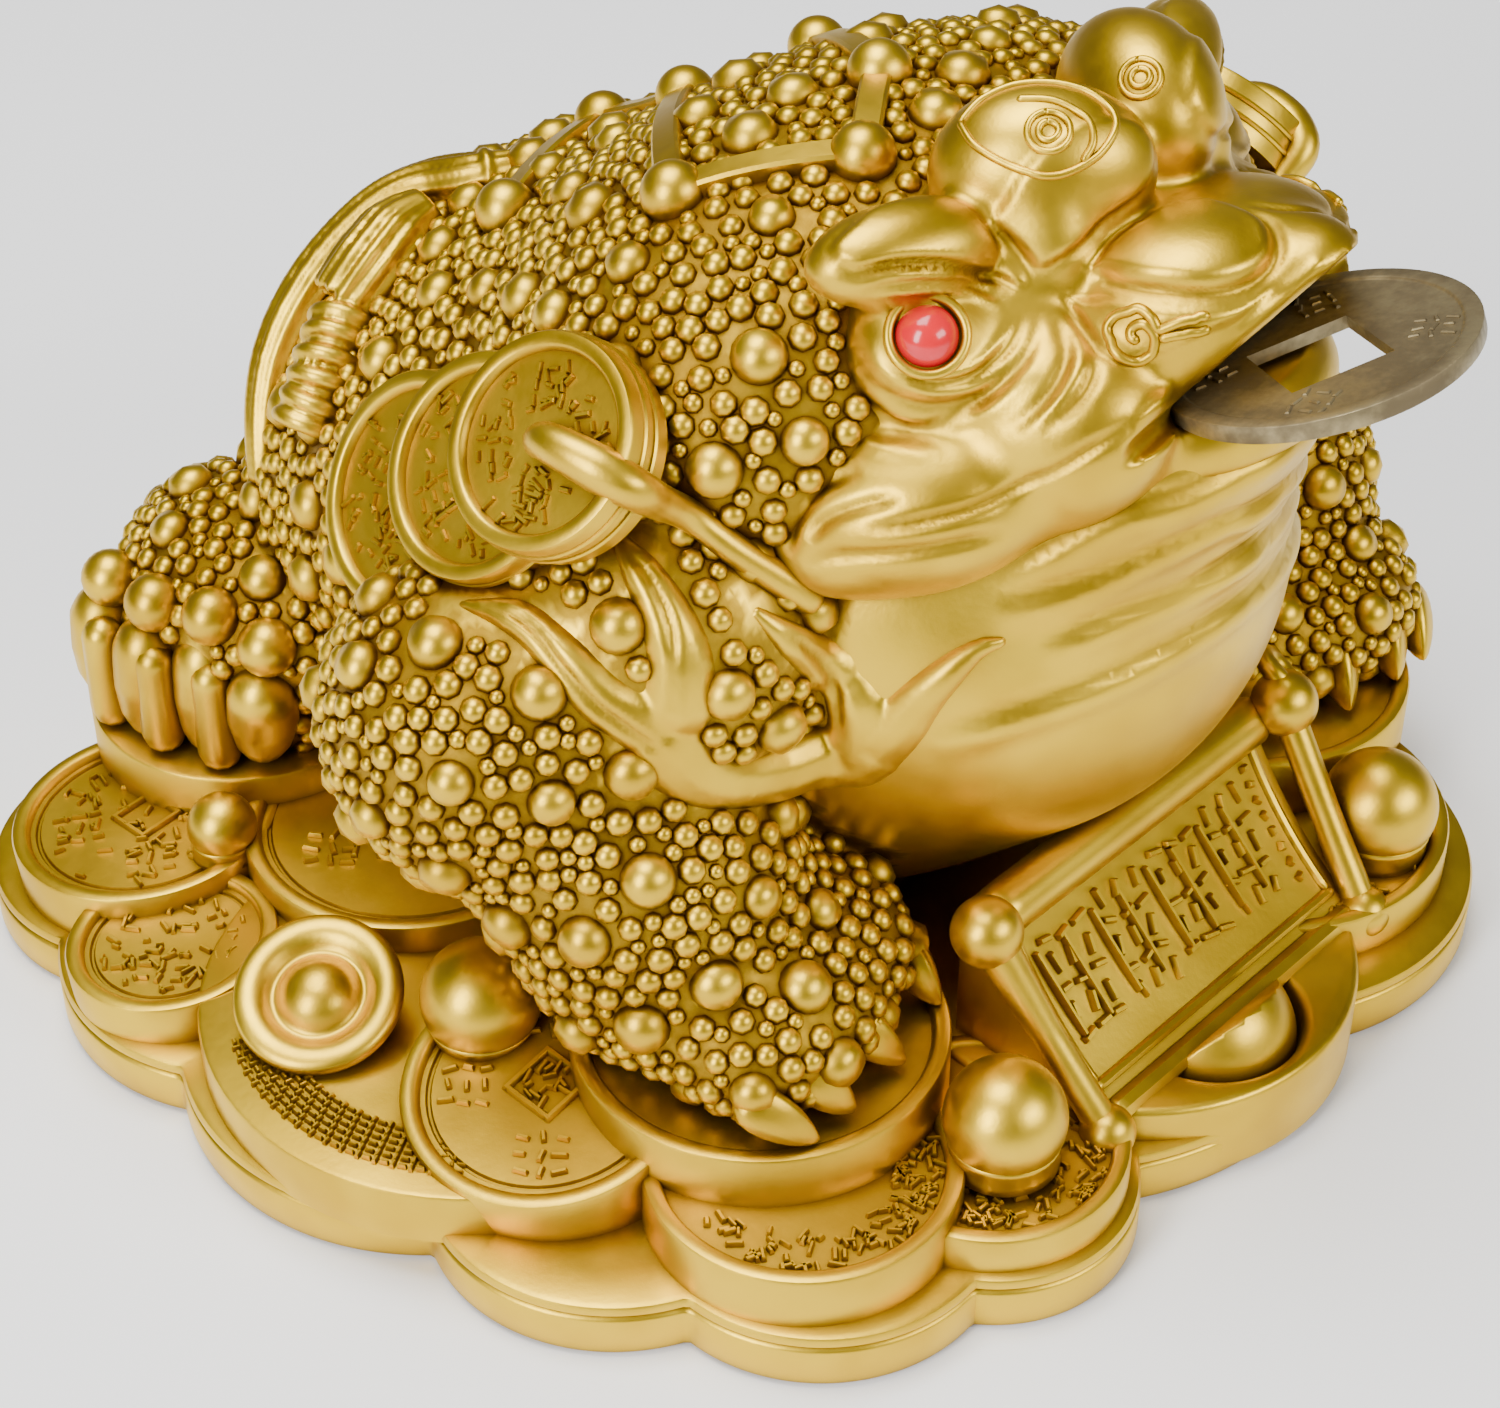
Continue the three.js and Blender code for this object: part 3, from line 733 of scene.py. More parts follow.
THROAT_FOLDS = [
    [
        (-17.4, -32.4, 54.7), (-14.5, -35.2, 57.5), (-11.8, -38.7, 60.4), (-7.5, -41.1, 61.2),
        (-3.0, -43.4, 62.6), (3, -44, 63),
    ],
    [
        (-18.1, -32.4, 52.8), (-15.9, -34.6, 53.5), (-12.3, -37.6, 54.8), (-8.5, -40.4, 56.5),
        (-3.6, -42.5, 57.7), (3, -42.9, 57.1),
    ],
    [
        (-16.1, -35.4, 49.5), (-10.7, -38.7, 51.0), (-5.5, -40.7, 51.6), (0.2, -41.6, 52.2),
        (5, -41.2, 52.1),
    ],
    [
        (-22.5, -30.4, 41.5), (-19.3, -33.9, 43.7), (-15.4, -36.8, 45.0), (-10.7, -39.2, 46.0),
        (-5.0, -40.8, 46.9), (2.7, -41.1, 47.4),
    ],
]


def body():
    """Trunk, throat and legs as one skin, with folds across the throat."""
    parts = [
        grown(TRUNK, (0, 8, 42), 75, 7),
        grown(THROAT, (0, -16, 46), 60, 7),
        grown(FIELDS["right_leg"], (-36, -12, 29), 45, 6),
        grown(FIELDS["left_leg"], (36, -12, 29), 45, 6),
        grown(FIELDS["right_thigh"], (-27, 38, 24), 40, 6),
        grown(FIELDS["left_thigh"], (27, 38, 24), 40, 6),
    ]
    piece = remeshed(joined(parts), 0.66, 4)
    clay = Clay(piece, skin)
    for side in SIDES:
        for points in THROAT_FOLDS:
            clay.fold(snapped(mirrored(points, side)), 0.6, 0.4, 0.5, side)
        clay.settle()
    return piece


def snapped(points, distance=skin):
    """Points moved onto the skin of a soft form."""
    line = np.array(points, float)
    for _ in range(3):
        line = line - normals_of(distance, line) * distance(line)[:, None]
    return line


def flames():
    """Bands with pointed ends that lick up over both shoulders."""
    rods = []
    for side in SIDES:
        for points, widths in FLAMES:
            rods.append(ridge(snapped(mirrored(points, side)), widths, 1.15))
    piece = remeshed(joined(rods), 0.36, 3)
    clay = Clay(piece, skin)
    for side in SIDES:
        for points in FLAME_GROOVES:
            line = snapped(mirrored(points, side))
            # Each groove is marked for painted shade.
            clay.stroke(line + normals_of(skin, line), 0.45, -0.45, taper=0.2, shade_mark=0.7)
    clay.settle()
    return piece


# The head.

# Outlines of raised forms, and lines on the skin, for the right side of the face.
DOME_FRONT = [
    (-14.1, -24.3, 79.2), (-13.2, -26.5, 77.1), (-12.9, -28.1, 75.9), (-11.6, -29.7, 77.0),
    (-7.3, -30.9, 78.9), (-4.0, -31.6, 80.3), (-2.6, -29.6, 83.2), (-7.0, -27.4, 85.4),
    (-11.2, -25.6, 83.4),
]
NOSE_LEAF = [
    (-11.5, -29.9, 76.1), (-11.0, -33.6, 75.8), (-10.7, -36.6, 76.2), (-9.3, -39.5, 76.3),
    (-6.9, -41.3, 76.4), (-4.6, -41.9, 77.0), (-3.0, -41.5, 78.0), (-1.2, -39.6, 78.4),
    (-0.4, -36.6, 78.2), (-0.6, -33.6, 77.7), (-2.8, -31.8, 77.7), (-7.3, -31.0, 77.4),
]
BROW = [
    (-24.8, -19.1, 78.9), (-24.2, -20.6, 78.6), (-22.1, -22.5, 78.9), (-18.9, -24.6, 78.0),
    (-14.8, -25.0, 75.4), (-14.0, -27.3, 74.7), (-13.2, -27.6, 75.5), (-13.3, -26.2, 77.0),
    (-14.4, -24.5, 79.1), (-14.8, -20.6, 80.2), (-19.0, -18.4, 80.9), (-22.1, -18.3, 80.7),
    (-24.1, -18.0, 79.7),
]
SWIRL_PAD = [
    (-12.4, -29.4, 74.5), (-12.7, -31.2, 73.2), (-14.0, -33.8, 72.3), (-13.8, -35.9, 71.6),
    (-12.0, -37.7, 71.9), (-10.0, -40.2, 73.6), (-7.7, -41.9, 74.6), (-5.1, -42.4, 76.1),
    (-8.1, -41.0, 75.8), (-10.7, -37.9, 75.7), (-11.4, -33.6, 75.2),
]
UPPER_LIDS = [
    [
        (-24.8, -20.1, 77.4), (-23.4, -21.7, 78.3), (-21.1, -23.4, 78.1), (-18.1, -24.8, 77.0),
        (-14.8, -25.6, 74.9), (-14.5, -27.5, 74.2),
    ],
    [
        (-23.7, -21.2, 76.5), (-22.3, -22.6, 76.9), (-19.5, -24.1, 76.3), (-16.8, -25.0, 75.0),
        (-15.5, -26.9, 73.9),
    ],
]
LOWER_LIDS = [
    [
        (-22.6, -22.5, 73.2), (-23.0, -23.6, 72.0), (-22.2, -25.4, 71.2), (-19.8, -27.1, 71.2),
        (-16.8, -27.8, 72.4), (-15.2, -27.7, 73.5),
    ],
    [
        (-22.9, -20.7, 72.6), (-23.4, -21.6, 71.6), (-23.2, -23.8, 70.6), (-21.9, -25.9, 69.9),
        (-19.5, -27.6, 69.9), (-16.8, -29.1, 71.7), (-14.5, -28.8, 73.4),
    ],
    [
        (-22.4, -18.2, 70.9), (-23.2, -19.8, 68.6), (-22.9, -23.0, 67.5), (-21.1, -26.2, 67.0),
        (-19.6, -29.1, 68.6), (-17.6, -30.6, 71.0), (-15.1, -30.2, 72.5), (-13.5, -29.5, 73.5),
    ],
    [
        (-24.0, -17.1, 70.6), (-24.9, -19.0, 67.9), (-24.2, -20.9, 65.6), (-23.8, -24.0, 65.2),
        (-22.4, -27.1, 65.4),
    ],
]
CHEEK_FOLDS = [
    [
        (-13.4, -30.1, 73.3), (-15.2, -32.1, 72.3), (-17.3, -32.7, 71.0), (-19.1, -32.0, 69.1),
        (-20.3, -30.3, 67.1),
    ],
    [(-14.1, -33.0, 72.4), (-15.4, -34.5, 71.7), (-17.4, -34.6, 70.2), (-19.5, -32.9, 68.0)],
]
SWIRL = [
    (-9.7, -40.0, 75.0), (-10.9, -38.4, 74.6), (-11.6, -37.3, 74.0), (-11.6, -36.8, 74.6),
    (-11.7, -35.6, 74.8), (-12.1, -34.2, 74.1), (-12.8, -34.0, 72.9), (-13.4, -35.4, 72.0),
    (-12.9, -36.5, 71.7), (-12.1, -37.2, 72.6), (-11.8, -37.1, 73.6), (-11.9, -36.3, 74.2),
    (-12.1, -35.6, 73.7), (-12.4, -35.7, 73.1), (-12.3, -36.3, 73.0),
]
SWIRL_LOW = [(-11.8, -37.4, 73.4), (-10.8, -39.0, 74.0), (-9.8, -40.1, 74.4)]
LIP_EDGE = [
    (-8.4, -41.8, 72.6), (-10.2, -39.5, 70.1), (-14.8, -38.2, 69.1), (-18.3, -36.3, 67.1),
    (-20.0, -33.6, 64.7), (-22.9, -30.6, 62.8), (-26.1, -27.4, 61.8), (-28.0, -23.9, 60.7),
]
DOME_EYE = [
    (-10.9, -19.9, 84.1), (-12.2, -22.2, 83.5), (-11.9, -25.4, 82.7), (-10.6, -27.7, 82.4),
    (-8.1, -29.4, 83.4), (-5.4, -28.9, 84.7), (-4.9, -26.4, 85.9), (-6.6, -22.4, 86.2),
    (-8.7, -20.5, 85.4), (-10.9, -19.9, 84.1),
]
DOME_ARC = [
    (-8.8, -23.1, 86.1), (-7.6, -25.6, 86.1), (-7.3, -27.8, 85.3), (-8.0, -28.8, 84.1),
    (-9.2, -28.8, 83.1),
]
DOME_RING_CENTRE = (-9.6, -26.3, 84.9)
CHEEK_REAR = [
    [
        (-25.8, -22.4, 63.8), (-26.9, -19.9, 62.5), (-28.1, -18.9, 61.1), (-28.8, -18.4, 59.0),
        (-29.5, -18.9, 57.3),
    ],
    [(-25.9, -25.8, 63.2), (-27.5, -22.9, 62.0), (-28.4, -20.9, 60.5), (-29.1, -19.9, 58.7)],
]
JAW_CREASE = [
    (-21.6, -32.3, 60.3), (-24.4, -30.4, 60.3), (-27.2, -26.8, 59.5), (-28.9, -22.4, 58.3),
    (-29.5, -19.9, 56.8),
]
EYE_CENTRE = (-18, -21.9, 70.1)
EYE_LOOK = Vector((-0.6, -0.47, 0.64)).normalized()
BEAD_RADIUS = 2.3
BEAD_PROUD = 1.35
FAR_BEAD_PROUD = 0.0
FAR_DOME_RING = (1.9, -26.9, 84.5)
# The upper lip's edge lies on a plane through these two places.
LIP_LOW = (-38.0, 67.2)
LIP_HIGH = (-60.0, 97.2)
COIN_PLACE = (-0.2, -44.4, 68.85)
COIN_FACING = (-0.07, 0.317, 0.946)


def bead_centre(side):
    """The middle of an eye bead in the head's axes."""
    look = Vector((EYE_LOOK.x * side, EYE_LOOK.y, EYE_LOOK.z))
    steps = np.arange(12, 0, -0.05)[:, None]
    walk = np.array((EYE_CENTRE[0] * side, *EYE_CENTRE[1:])) + np.array(look) * steps
    surface = walk[np.argmax(HEAD(walk) < 0)]
    proud = BEAD_PROUD if side > 0 else FAR_BEAD_PROUD
    return surface + np.array(look) * (proud - BEAD_RADIUS)


def block(corners):
    """A six-sided block from its eight corners, four and four."""
    faces = [(0, 1, 2, 3), (7, 6, 5, 4)] + [(i, i + 4, (i + 1) % 4 + 4, (i + 1) % 4) for i in range(4)]
    return faced_out(mesh_piece(corners, faces))


def mouth_wedge():
    """The opening between the lips, its floor leaning the way the coin leans."""
    outline = [(-38.0, 66.0, 0.035), (-60, 73.1, 0.035), (*LIP_HIGH, 0), (*LIP_LOW, 0)]
    return block([(x, y, z + lean * x) for x in (-30, 30) for y, z, lean in outline])


def mouth_slot():
    """The slot that the coin slides into."""
    clear()
    bpy.ops.mesh.primitive_cylinder_add(vertices=96, radius=12.0, depth=1.8)
    return lay(bpy.context.object, COIN_PLACE, COIN_FACING)


def ring(centre, normal, radius, count=24):
    """A circle of points on a plane."""
    normal = Vector(normal).normalized()
    first = normal.orthogonal().normalized()
    second = normal.cross(first)
    line = []
    for i in range(count + 1):
        a = 2 * math.pi * i / count
        line.append(tuple(Vector(centre) + first * radius * math.cos(a) + second * radius * math.sin(a)))
    return line


def lip_line(side):
    """The edge of the upper lip from the corner of the mouth to the tip of the snout."""
    slope = (LIP_HIGH[1] - LIP_LOW[1]) / (LIP_HIGH[0] - LIP_LOW[0])
    edge = []
    for x in np.linspace(-15.8, -2.5, 11):
        y = np.arange(-58, -36, 0.05)
        walk = np.stack([np.full(len(y), x * side), y, LIP_LOW[1] + (y - LIP_LOW[0]) * slope], axis=1)
        inside = HEAD(walk) < 0
        if inside.any():
            edge.append(walk[np.argmax(inside)])
    return np.array(edge)


def fine_lines(clay):
    """Thin raised lines laid on the finished skin: curls, rings and the rims of the eyes."""

    def line(points, radius, round_ends=True):
        return tube(points, [radius, radius], step=0.3, round_ends=round_ends)

    rods = []
    for side in SIDES:
        for curl in (SWIRL, SWIRL_LOW):
            rods.append(line(clay.on_skin(smooth_line(mirrored(curl, side), 0.3)), 0.4))
        look = np.array((EYE_LOOK.x * side, EYE_LOOK.y, EYE_LOOK.z))
        rim = ring(bead_centre(side) + look * 0.8, look, 2.75)
        rods.append(tube(rim, [0.38, 0.38], round_ends=False))
    for middle in (DOME_RING_CENTRE, FAR_DOME_RING):
        centre = clay.on_skin([middle])[0]
        facing = normals_of(HEAD, centre[None])[0]
        for radius in (1.5, 0.7):
            rods.append(line(clay.on_skin(ring(centre, facing, radius)), 0.27, round_ends=False))
        if middle == DOME_RING_CENTRE:
            for drawn in (DOME_EYE, DOME_ARC):
                rods.append(line(clay.on_skin(smooth_line(drawn, 0.3)), 0.3))
    return rods


FACE_PADS = ((DOME_FRONT, 0.4, 1.0), (BROW, 0.4, 0.8), (NOSE_LEAF, 0.8, 1.4), (SWIRL_PAD, 0.45, 0.9))
LOWER_LID_WIDTHS = (0.42, 0.5, 0.7, 0.8)


def carve_face(clay, side):
    """The pads, welts and creases of one half of the face."""

    def on_face(points):
        return snapped(mirrored(points, side), HEAD)

    def crease(points, width, depth, taper=0.2):
        # A crease is marked for painted shade.
        clay.stroke(on_face(points), width, -depth, taper, shade_mark=0.7)

    def welt(points, width, height, taper=0.25):
        clay.stroke(on_face(points), width, height, taper)

    for outline, lift, soft in FACE_PADS:
        if side > 0 or outline != NOSE_LEAF:
            clay.pad(on_face(outline), lift, soft)
        clay.settle()
    crease(BROW[:6], 0.45, 0.45)
    for upper, lower in zip((BROW[:6], UPPER_LIDS[0]), UPPER_LIDS):
        welt(lower, 0.42, 0.34)
        crease(between(upper, lower), 0.4, 0.14)
    for k, (lid, width) in enumerate(zip(LOWER_LIDS, LOWER_LID_WIDTHS)):
        welt(lid, width, 0.32, taper=0.35)
        if k:
            crease(between(LOWER_LIDS[k - 1], lid), 0.34 + 0.08 * k, 0.36, taper=0.35)
    for fold in CHEEK_FOLDS:
        crease(fold, 0.55, 0.42, taper=0.35)
    welt(between(*CHEEK_FOLDS), 0.7, 0.3, taper=0.4)
    crease(DOME_FRONT[:3], 0.42, 0.3, taper=0.3)
    crease(DOME_FRONT[2:6], 0.42, 0.3, taper=0.3)
    crease(NOSE_LEAF[:9], 0.42, 0.35, taper=0.15)
    crease(SWIRL_PAD[:4], 0.42, 0.3, taper=0.3)
    crease(LIP_EDGE[2:], 0.5, 0.5)
    crease(JAW_CREASE, 0.6, 0.5)
    for points in CHEEK_REAR:
        crease(points, 0.5, 0.4)
    clay.settle()


def head():
    piece = grown(HEAD, (0, -22, 67), 50, 7)
    for cutter in (mouth_wedge(), mouth_slot()):
        modified(piece, "BOOLEAN", operation="DIFFERENCE", object=cutter, solver="EXACT")
        bpy.data.objects.remove(cutter)
    lips = []
    for side in SIDES:
        edge = lip_line(side) + np.array((0, 0.3, 0.9))
        lips.append(ridge(edge, [0.3, 0.9, 1.0, 0.9, 0.3], 0.4, HEAD))
    piece = remeshed(joined([piece, *lips]), 0.33, 2)
    clay = Clay(piece, HEAD)
    for side in SIDES:
        carve_face(clay, side)
    piece = joined([piece, *fine_lines(clay)])
    piece.data.transform(HEAD_PLACE)
    return piece


def eye_bead(side, name):
    piece = ball(bead_centre(side), BEAD_RADIUS, 4)
    piece.data.transform(HEAD_PLACE)
    finish(piece, name, RED, name, angle=0)


def mouth_coin():
    """A thin old coin with a raised rim and a square hole, resting between the lips."""
    radius, half, field, rim = 11.7, 0.7, 0.5, 1.5
    inner = radius - rim
    profile = [(0, -field), (inner, -field), (inner + 0.2, -half), (radius, -half)]
    profile += [(r, -h) for r, h in reversed(profile)]
    piece = softened(turned(profile, 96), 0.12, 2)
    clear()
    bpy.ops.mesh.primitive_cube_add(size=8)
    hole = bpy.context.object
    hole.data.transform(Matrix.Translation((-0.9, -0.5, 0)) @ Matrix.Rotation(math.radians(-37), 4, "Z"))
    modified(piece, "BOOLEAN", operation="DIFFERENCE", object=hole, solver="EXACT")
    bpy.data.objects.remove(hole)
    work = []
    for k, (x, y) in enumerate(((-7.6, -3.6), (3.4, -7.4), (6.3, 3.6), (-4.6, 6.6))):
        work += stroke_rows(x, y, 3.6, 20 * k, 70 + k)
    marks = bars(work, 0.16)
    marks.data.transform(Matrix.Translation((0, 0, field)))
    piece = lay(joined([piece, marks]), COIN_PLACE, COIN_FACING)
    piece.data.transform(HEAD_PLACE)
    finish(piece, "mouth_coin_piece", BRASS, "mouth_coin")


# The bed of coins.

BED_BOTH_SIDES = [(-44.5, 38.5, 15), (-46, 22.7, 17.7), (-43.2, 3.2, 21.8), (-31, 41, 14), (-13, 38, 16.5)]
RIM_COINS = [(x * side, y, r) for x, y, r in BED_BOTH_SIDES for side in SIDES]
RIM_COINS += [(-44.3, -18.8, 15.8), (-36.4, -33.2, 14.8), (-25, -41, 12.1)]
RIM_COINS += [(41, -17, 13.5), (20.4, -31.7, 21.2), (-1, -25.5, 28)]


def scallop_ring(inset, height, samples):
    """The outline of the overlapping round coins, drawn in by an inset."""
    ring_points = []
    for i in range(samples):
        angle = 2 * math.pi * i / samples
        dx, dy = math.cos(angle), math.sin(angle)
        reach = 0
        for x, y, r in RIM_COINS:
            along = x * dx + y * dy
            half = (r - inset) ** 2 - (x * x + y * y - along * along)
            if half > 0:
                reach = max(reach, along + math.sqrt(half))
        ring_points.append((dx * reach, dy * reach, height))
    return ring_points


def lower_tier():
    """The scalloped bottom of the bed, with a groove all round."""
    samples = 720
    steps = [(0.7, 0), (0.15, 0.25), (0, 0.8), (0, 3.7), (0.12, 3.95), (0.4, 4.1), (0.4, 4.25), (0.1, 4.4),
             (0.05, 4.8), (0.25, 5.15), (0.7, BED_TIER), (4, BED_TIER), (12, BED_TIER)]
    points = [p for inset, height in steps for p in scallop_ring(inset, height, samples)]
    faces = []
    for k in range(len(steps) - 1):
        for i in range(samples):
            j = (i + 1) % samples
            faces.append((k * samples + i, k * samples + j, (k + 1) * samples + j, (k + 1) * samples + i))
    faces.append(tuple(reversed(range(samples))))
    faces.append(tuple(range((len(steps) - 1) * samples, len(steps) * samples)))
    return mesh_piece(points, faces)


def bars(strokes, height):
    """Low rounded strokes on the plane Z = 0: each is (x, y, length, width, angle)."""
    points, faces = [], []
    for x, y, length, width, angle in strokes:
        along = np.array((math.cos(angle), math.sin(angle), 0))
        across = np.array((-along[1], along[0], 0))
        start = len(points)
        for share, z in ((1, -0.3), (1, height * 0.4), (0.5, height)):
            inset = width * (1 - share) / 2
            for sx, sy in ((-1, -1), (1, -1), (1, 1), (-1, 1)):
                flat = along * sx * (length / 2 - inset) + across * sy * width / 2 * share
                points.append((x + flat[0], y + flat[1], z))
        for k in (0, 4):
            for i in range(4):
                j = (i + 1) % 4
                faces.append((start + k + i, start + k + j, start + k + 4 + j, start + k + 4 + i))
        faces.append(tuple(start + 8 + i for i in range(4)))
        faces.append(tuple(start + 3 - i for i in range(4)))
    return mesh_piece(points, faces)


def stroke_rows(x, y, size, turn, seed, rows=3):
    """Rows of short strokes where the cast words were; they spell nothing."""
    chance = random.Random(seed)
    cell = size / 3
    turn = math.radians(turn)
    work = []
    for row in range(rows):
        lean = math.pi / 2 if (row + seed) % 2 else 0.0
        for k in range(3):
            u = (k - 1) * cell + chance.uniform(-0.1, 0.1) * cell
            v = (row - (rows - 1) / 2) * cell + chance.uniform(-0.1, 0.1) * cell
            angle = lean + chance.uniform(-0.35, 0.35)
            right = x + u * math.cos(turn) - v * math.sin(turn)
            up = y + u * math.sin(turn) + v * math.cos(turn)
            work.append((right, up, cell * chance.uniform(0.6, 0.95), size * 0.095, angle + turn))
    return work


def crumble(inside, outside, count, seed, spread=(0, 360)):
    """Short strokes lying every way between two circles, like worn casting."""
    chance = random.Random(seed)
    work = []
    for _ in range(count):
        reach = math.sqrt(chance.uniform(inside**2, outside**2))
        angle = math.radians(chance.uniform(*spread))
        length = chance.uniform(0.6, 1.5)
        work.append((reach * math.cos(angle), reach * math.sin(angle), length, chance.uniform(0.3, 0.5),
                     chance.uniform(0, math.pi)))
    return work


def woven(inside, outside, spread):
    """Crossing short strokes between two circles, like basket work."""
    work = []
    for ring_number, reach in enumerate(np.arange(inside, outside, 0.75)):
        angles = np.arange(*spread, 0.75 / reach)
        for k, angle in enumerate(angles):
            turn = angle + (math.pi / 2 if (k + ring_number) % 2 else 0)
            work.append((reach * math.cos(angle), reach * math.sin(angle), 0.72, 0.34, turn))
    return work


def coin(radius, depth, rim=True, line=True, rim_width=RIM_WIDTH):
    """A round coin with its face at Z = 0, a raised rim and a fine line inside it."""
    profile = [(0, -depth), (radius, -depth), (radius, -0.35), (radius - 0.15, -0.1), (radius - 0.45, 0)]
    if rim:
        inner = radius - rim_width
        profile += [(inner + 0.15, 0), (inner - 0.1, -0.15), (inner - 0.3, -RIM_HEIGHT)]
        if line:
            profile += [(inner - 0.7, -RIM_HEIGHT), (inner - 0.85, -RIM_HEIGHT - 0.25),
                        (inner - 1.05, -RIM_HEIGHT - 0.25), (inner - 1.2, -RIM_HEIGHT)]
        profile += [(radius * 0.4, -RIM_HEIGHT), (0, -RIM_HEIGHT)]
    else:
        profile += [(0, 0)]
    piece = turned(profile, 72)
    if rim:
        # The sunk field inside the rim is marked for painted shade.
        points = points_of(piece)
        deep = (points[:, 2] < -RIM_HEIGHT + 0.05) & (points[:, 2] > -RIM_HEIGHT - 0.4)
        deep &= np.hypot(points[:, 0], points[:, 1]) < radius - rim_width
        set_shade_marks(piece, np.where(deep, 0.38, 0.0))
    return piece


def bed_coin(x, y, radius, top, lean=0, rim=True, line=True, work=()):
    """A coin of the bed, leaning outwards, with raised work on its face."""
    out = Vector((x, y, 0)).normalized() * math.sin(math.radians(lean))
    normal = (out.x, out.y, math.cos(math.radians(lean)))
    piece = coin(radius, top - BED_TIER + 1, rim, line)
    if work:
        relief = bars(work, 0.42)
        relief.data.transform(Matrix.Translation((0, 0, -RIM_HEIGHT if rim else 0)))
        piece = joined([piece, relief])
    return lay(piece, (x, y, top), normal)


def framed_square(size):
    """Four low strokes round a square, as on old coins with a square hole."""
    half = size / 2
    level = [(0, y, size + 0.6, 0.6, 0) for y in (half, -half)]
    return level + [(x, 0, size, 0.6, math.pi / 2) for x in (half, -half)]


def four_groups(reach, size, turn, seed):
    """Stroke rows at the four places where a coin has its words."""
    work = []
    for k in range(4):
        angle = math.radians(turn + 90 * k)
        work += stroke_rows(reach * math.cos(angle), reach * math.sin(angle), size, turn + 90 * k, seed + k)
    return work


def bed_coins():
    coins = []
    for side in SIDES:
        outward = 180 if side > 0 else 0
        coins += [
            bed_coin(-46.6 * side, 37.3, 11.8, BED_TOP + 0.6, lean=4,
                     work=four_groups(6.0, 4.6, 55, 11) + crumble(0.5, 9, 60, 5) + framed_square(4)),
            bed_coin(-54.6 * side, 24, 9, BED_TOP - 0.6, lean=4,
                     work=crumble(1, 6.2, 55, 6) + stroke_rows(-2.5 * side, -2, 4.4, 30, 15)),
            bed_coin(-40.4 * side, 0, 24, BED_TOP - 0.7, rim=False, line=False,
                     work=woven(17.6, 21.4, (math.radians(outward - 28), math.radians(outward + 42)))),
            bed_coin(-32 * side, 18.3, 14.8, BED_TOP + 2,
                     work=stroke_rows(-7.4 * side, 2.4, 5, 40, 21)
                     + [(-3.2 * side, 1.2, 7, 0.5, 0.9), (-4.4 * side, 2.2, 6.4, 0.5, 0.7)]),
            bed_coin(-12.5 * side, 38.5, 14.5, BED_TOP + 0.1,
                     work=four_groups(7.5, 5, 20, 31) + framed_square(4.6)),
            bed_coin(-32.3 * side, -23, 15.2, DISC_TOP, line=False),
            bed_coin(-31.3 * side, 41, 14.2, DISC_TOP, rim=False, line=False),
        ]
    coins += [
        bed_coin(-38, -32.8, 12.6, BED_TOP + 0.2, line=False, work=crumble(7.2, 10.8, 110, 41, (170, 330))),
        bed_coin(-25, -40.6, 11.4, BED_TOP - 1.3, line=False, work=crumble(3, 9.6, 130, 42, (180, 350))),
        bed_coin(-46.8, -13.6, 11.8, BED_TOP + 2.2, lean=12,
                 work=framed_square(4.6) + crumble(0, 2.0, 16, 43) + four_groups(6.6, 4.6, 130, 44)),
        bed_coin(22, -33, 16.6, BED_TOP - 0.5, line=False, work=crumble(10, 14.6, 90, 45, (200, 360))),
        bed_coin(41, -15, 12, BED_TOP - 0.2, work=four_groups(6.4, 4.4, 10, 46) + framed_square(4.2)),
    ]
    return joined(coins)


FRONT_DOME = (-1.6, -45.3, 6.2)
FRONT_DOME_RADIUS = 7.1
INGOT_HOLLOW = 7.9
# The dome is hidden above the foot of the scroll's sheet.
SHEET_EDGE = (0, -46.9, 8.9)
SHEET_COVER = tuple(TOWARDS_CAMERA.cross(Vector((1, 0, 0))).normalized())


def big_ingot():
    """A boat-shaped ingot whose thick wall runs round a dome."""
    clear()
    bpy.ops.mesh.primitive_cylinder_add(vertices=96, radius=20, depth=8.0, location=(0, -34.5, 4.5))
    boat = bpy.context.object
    pick(boat)
    bpy.ops.object.transform_apply(location=True)
    clear()
    x, y, _ = FRONT_DOME
    narrow, wide = INGOT_HOLLOW - 1.2, INGOT_HOLLOW + 0.6
    bpy.ops.mesh.primitive_cone_add(
        vertices=64, radius1=narrow, radius2=wide, depth=7, location=(x, y + 0.4, 6.9)
    )
    hollow = bpy.context.object
    pick(hollow)
    bpy.ops.object.transform_apply(location=True)
    modified(boat, "BOOLEAN", operation="DIFFERENCE", object=hollow, solver="EXACT")
    bpy.data.objects.remove(hollow)
    return softened(boat, 0.7, 4)


def small_ingot():
    """A round ingot with a rolled edge and a knob in its middle."""
    r = 7.1
    profile = [(0, -6), (r - 2.6, -6), (r - 0.8, -2.4), (r, -1.1), (r - 0.1, -0.3), (r - 0.7, 0.05)]
    profile += [(r - 1.7, 0.1), (r - 2.5, -0.25), (r - 3.0, -0.85), (3.6, -0.95), (3.2, -0.6)]
    profile += [(2.8, 0.1), (2.0, 0.8), (0.9, 1.2), (0, 1.25)]
    piece = modified(turned(profile, 64), "SUBSURF", levels=1, render_levels=1)
    return lay(piece, (-53.2, 6.4, 13.4), (-0.32, -0.22, 0.92))


PEARLS = [((-45, 28.4, 13), 3), ((-45.5, -4.8, 14.5), 4.9), ((-26, -43, 13), 4.9), ((25, -43, 13.2), 5.1)]
PEARLS.append(((44.2, -3.8, 14), 4.7))


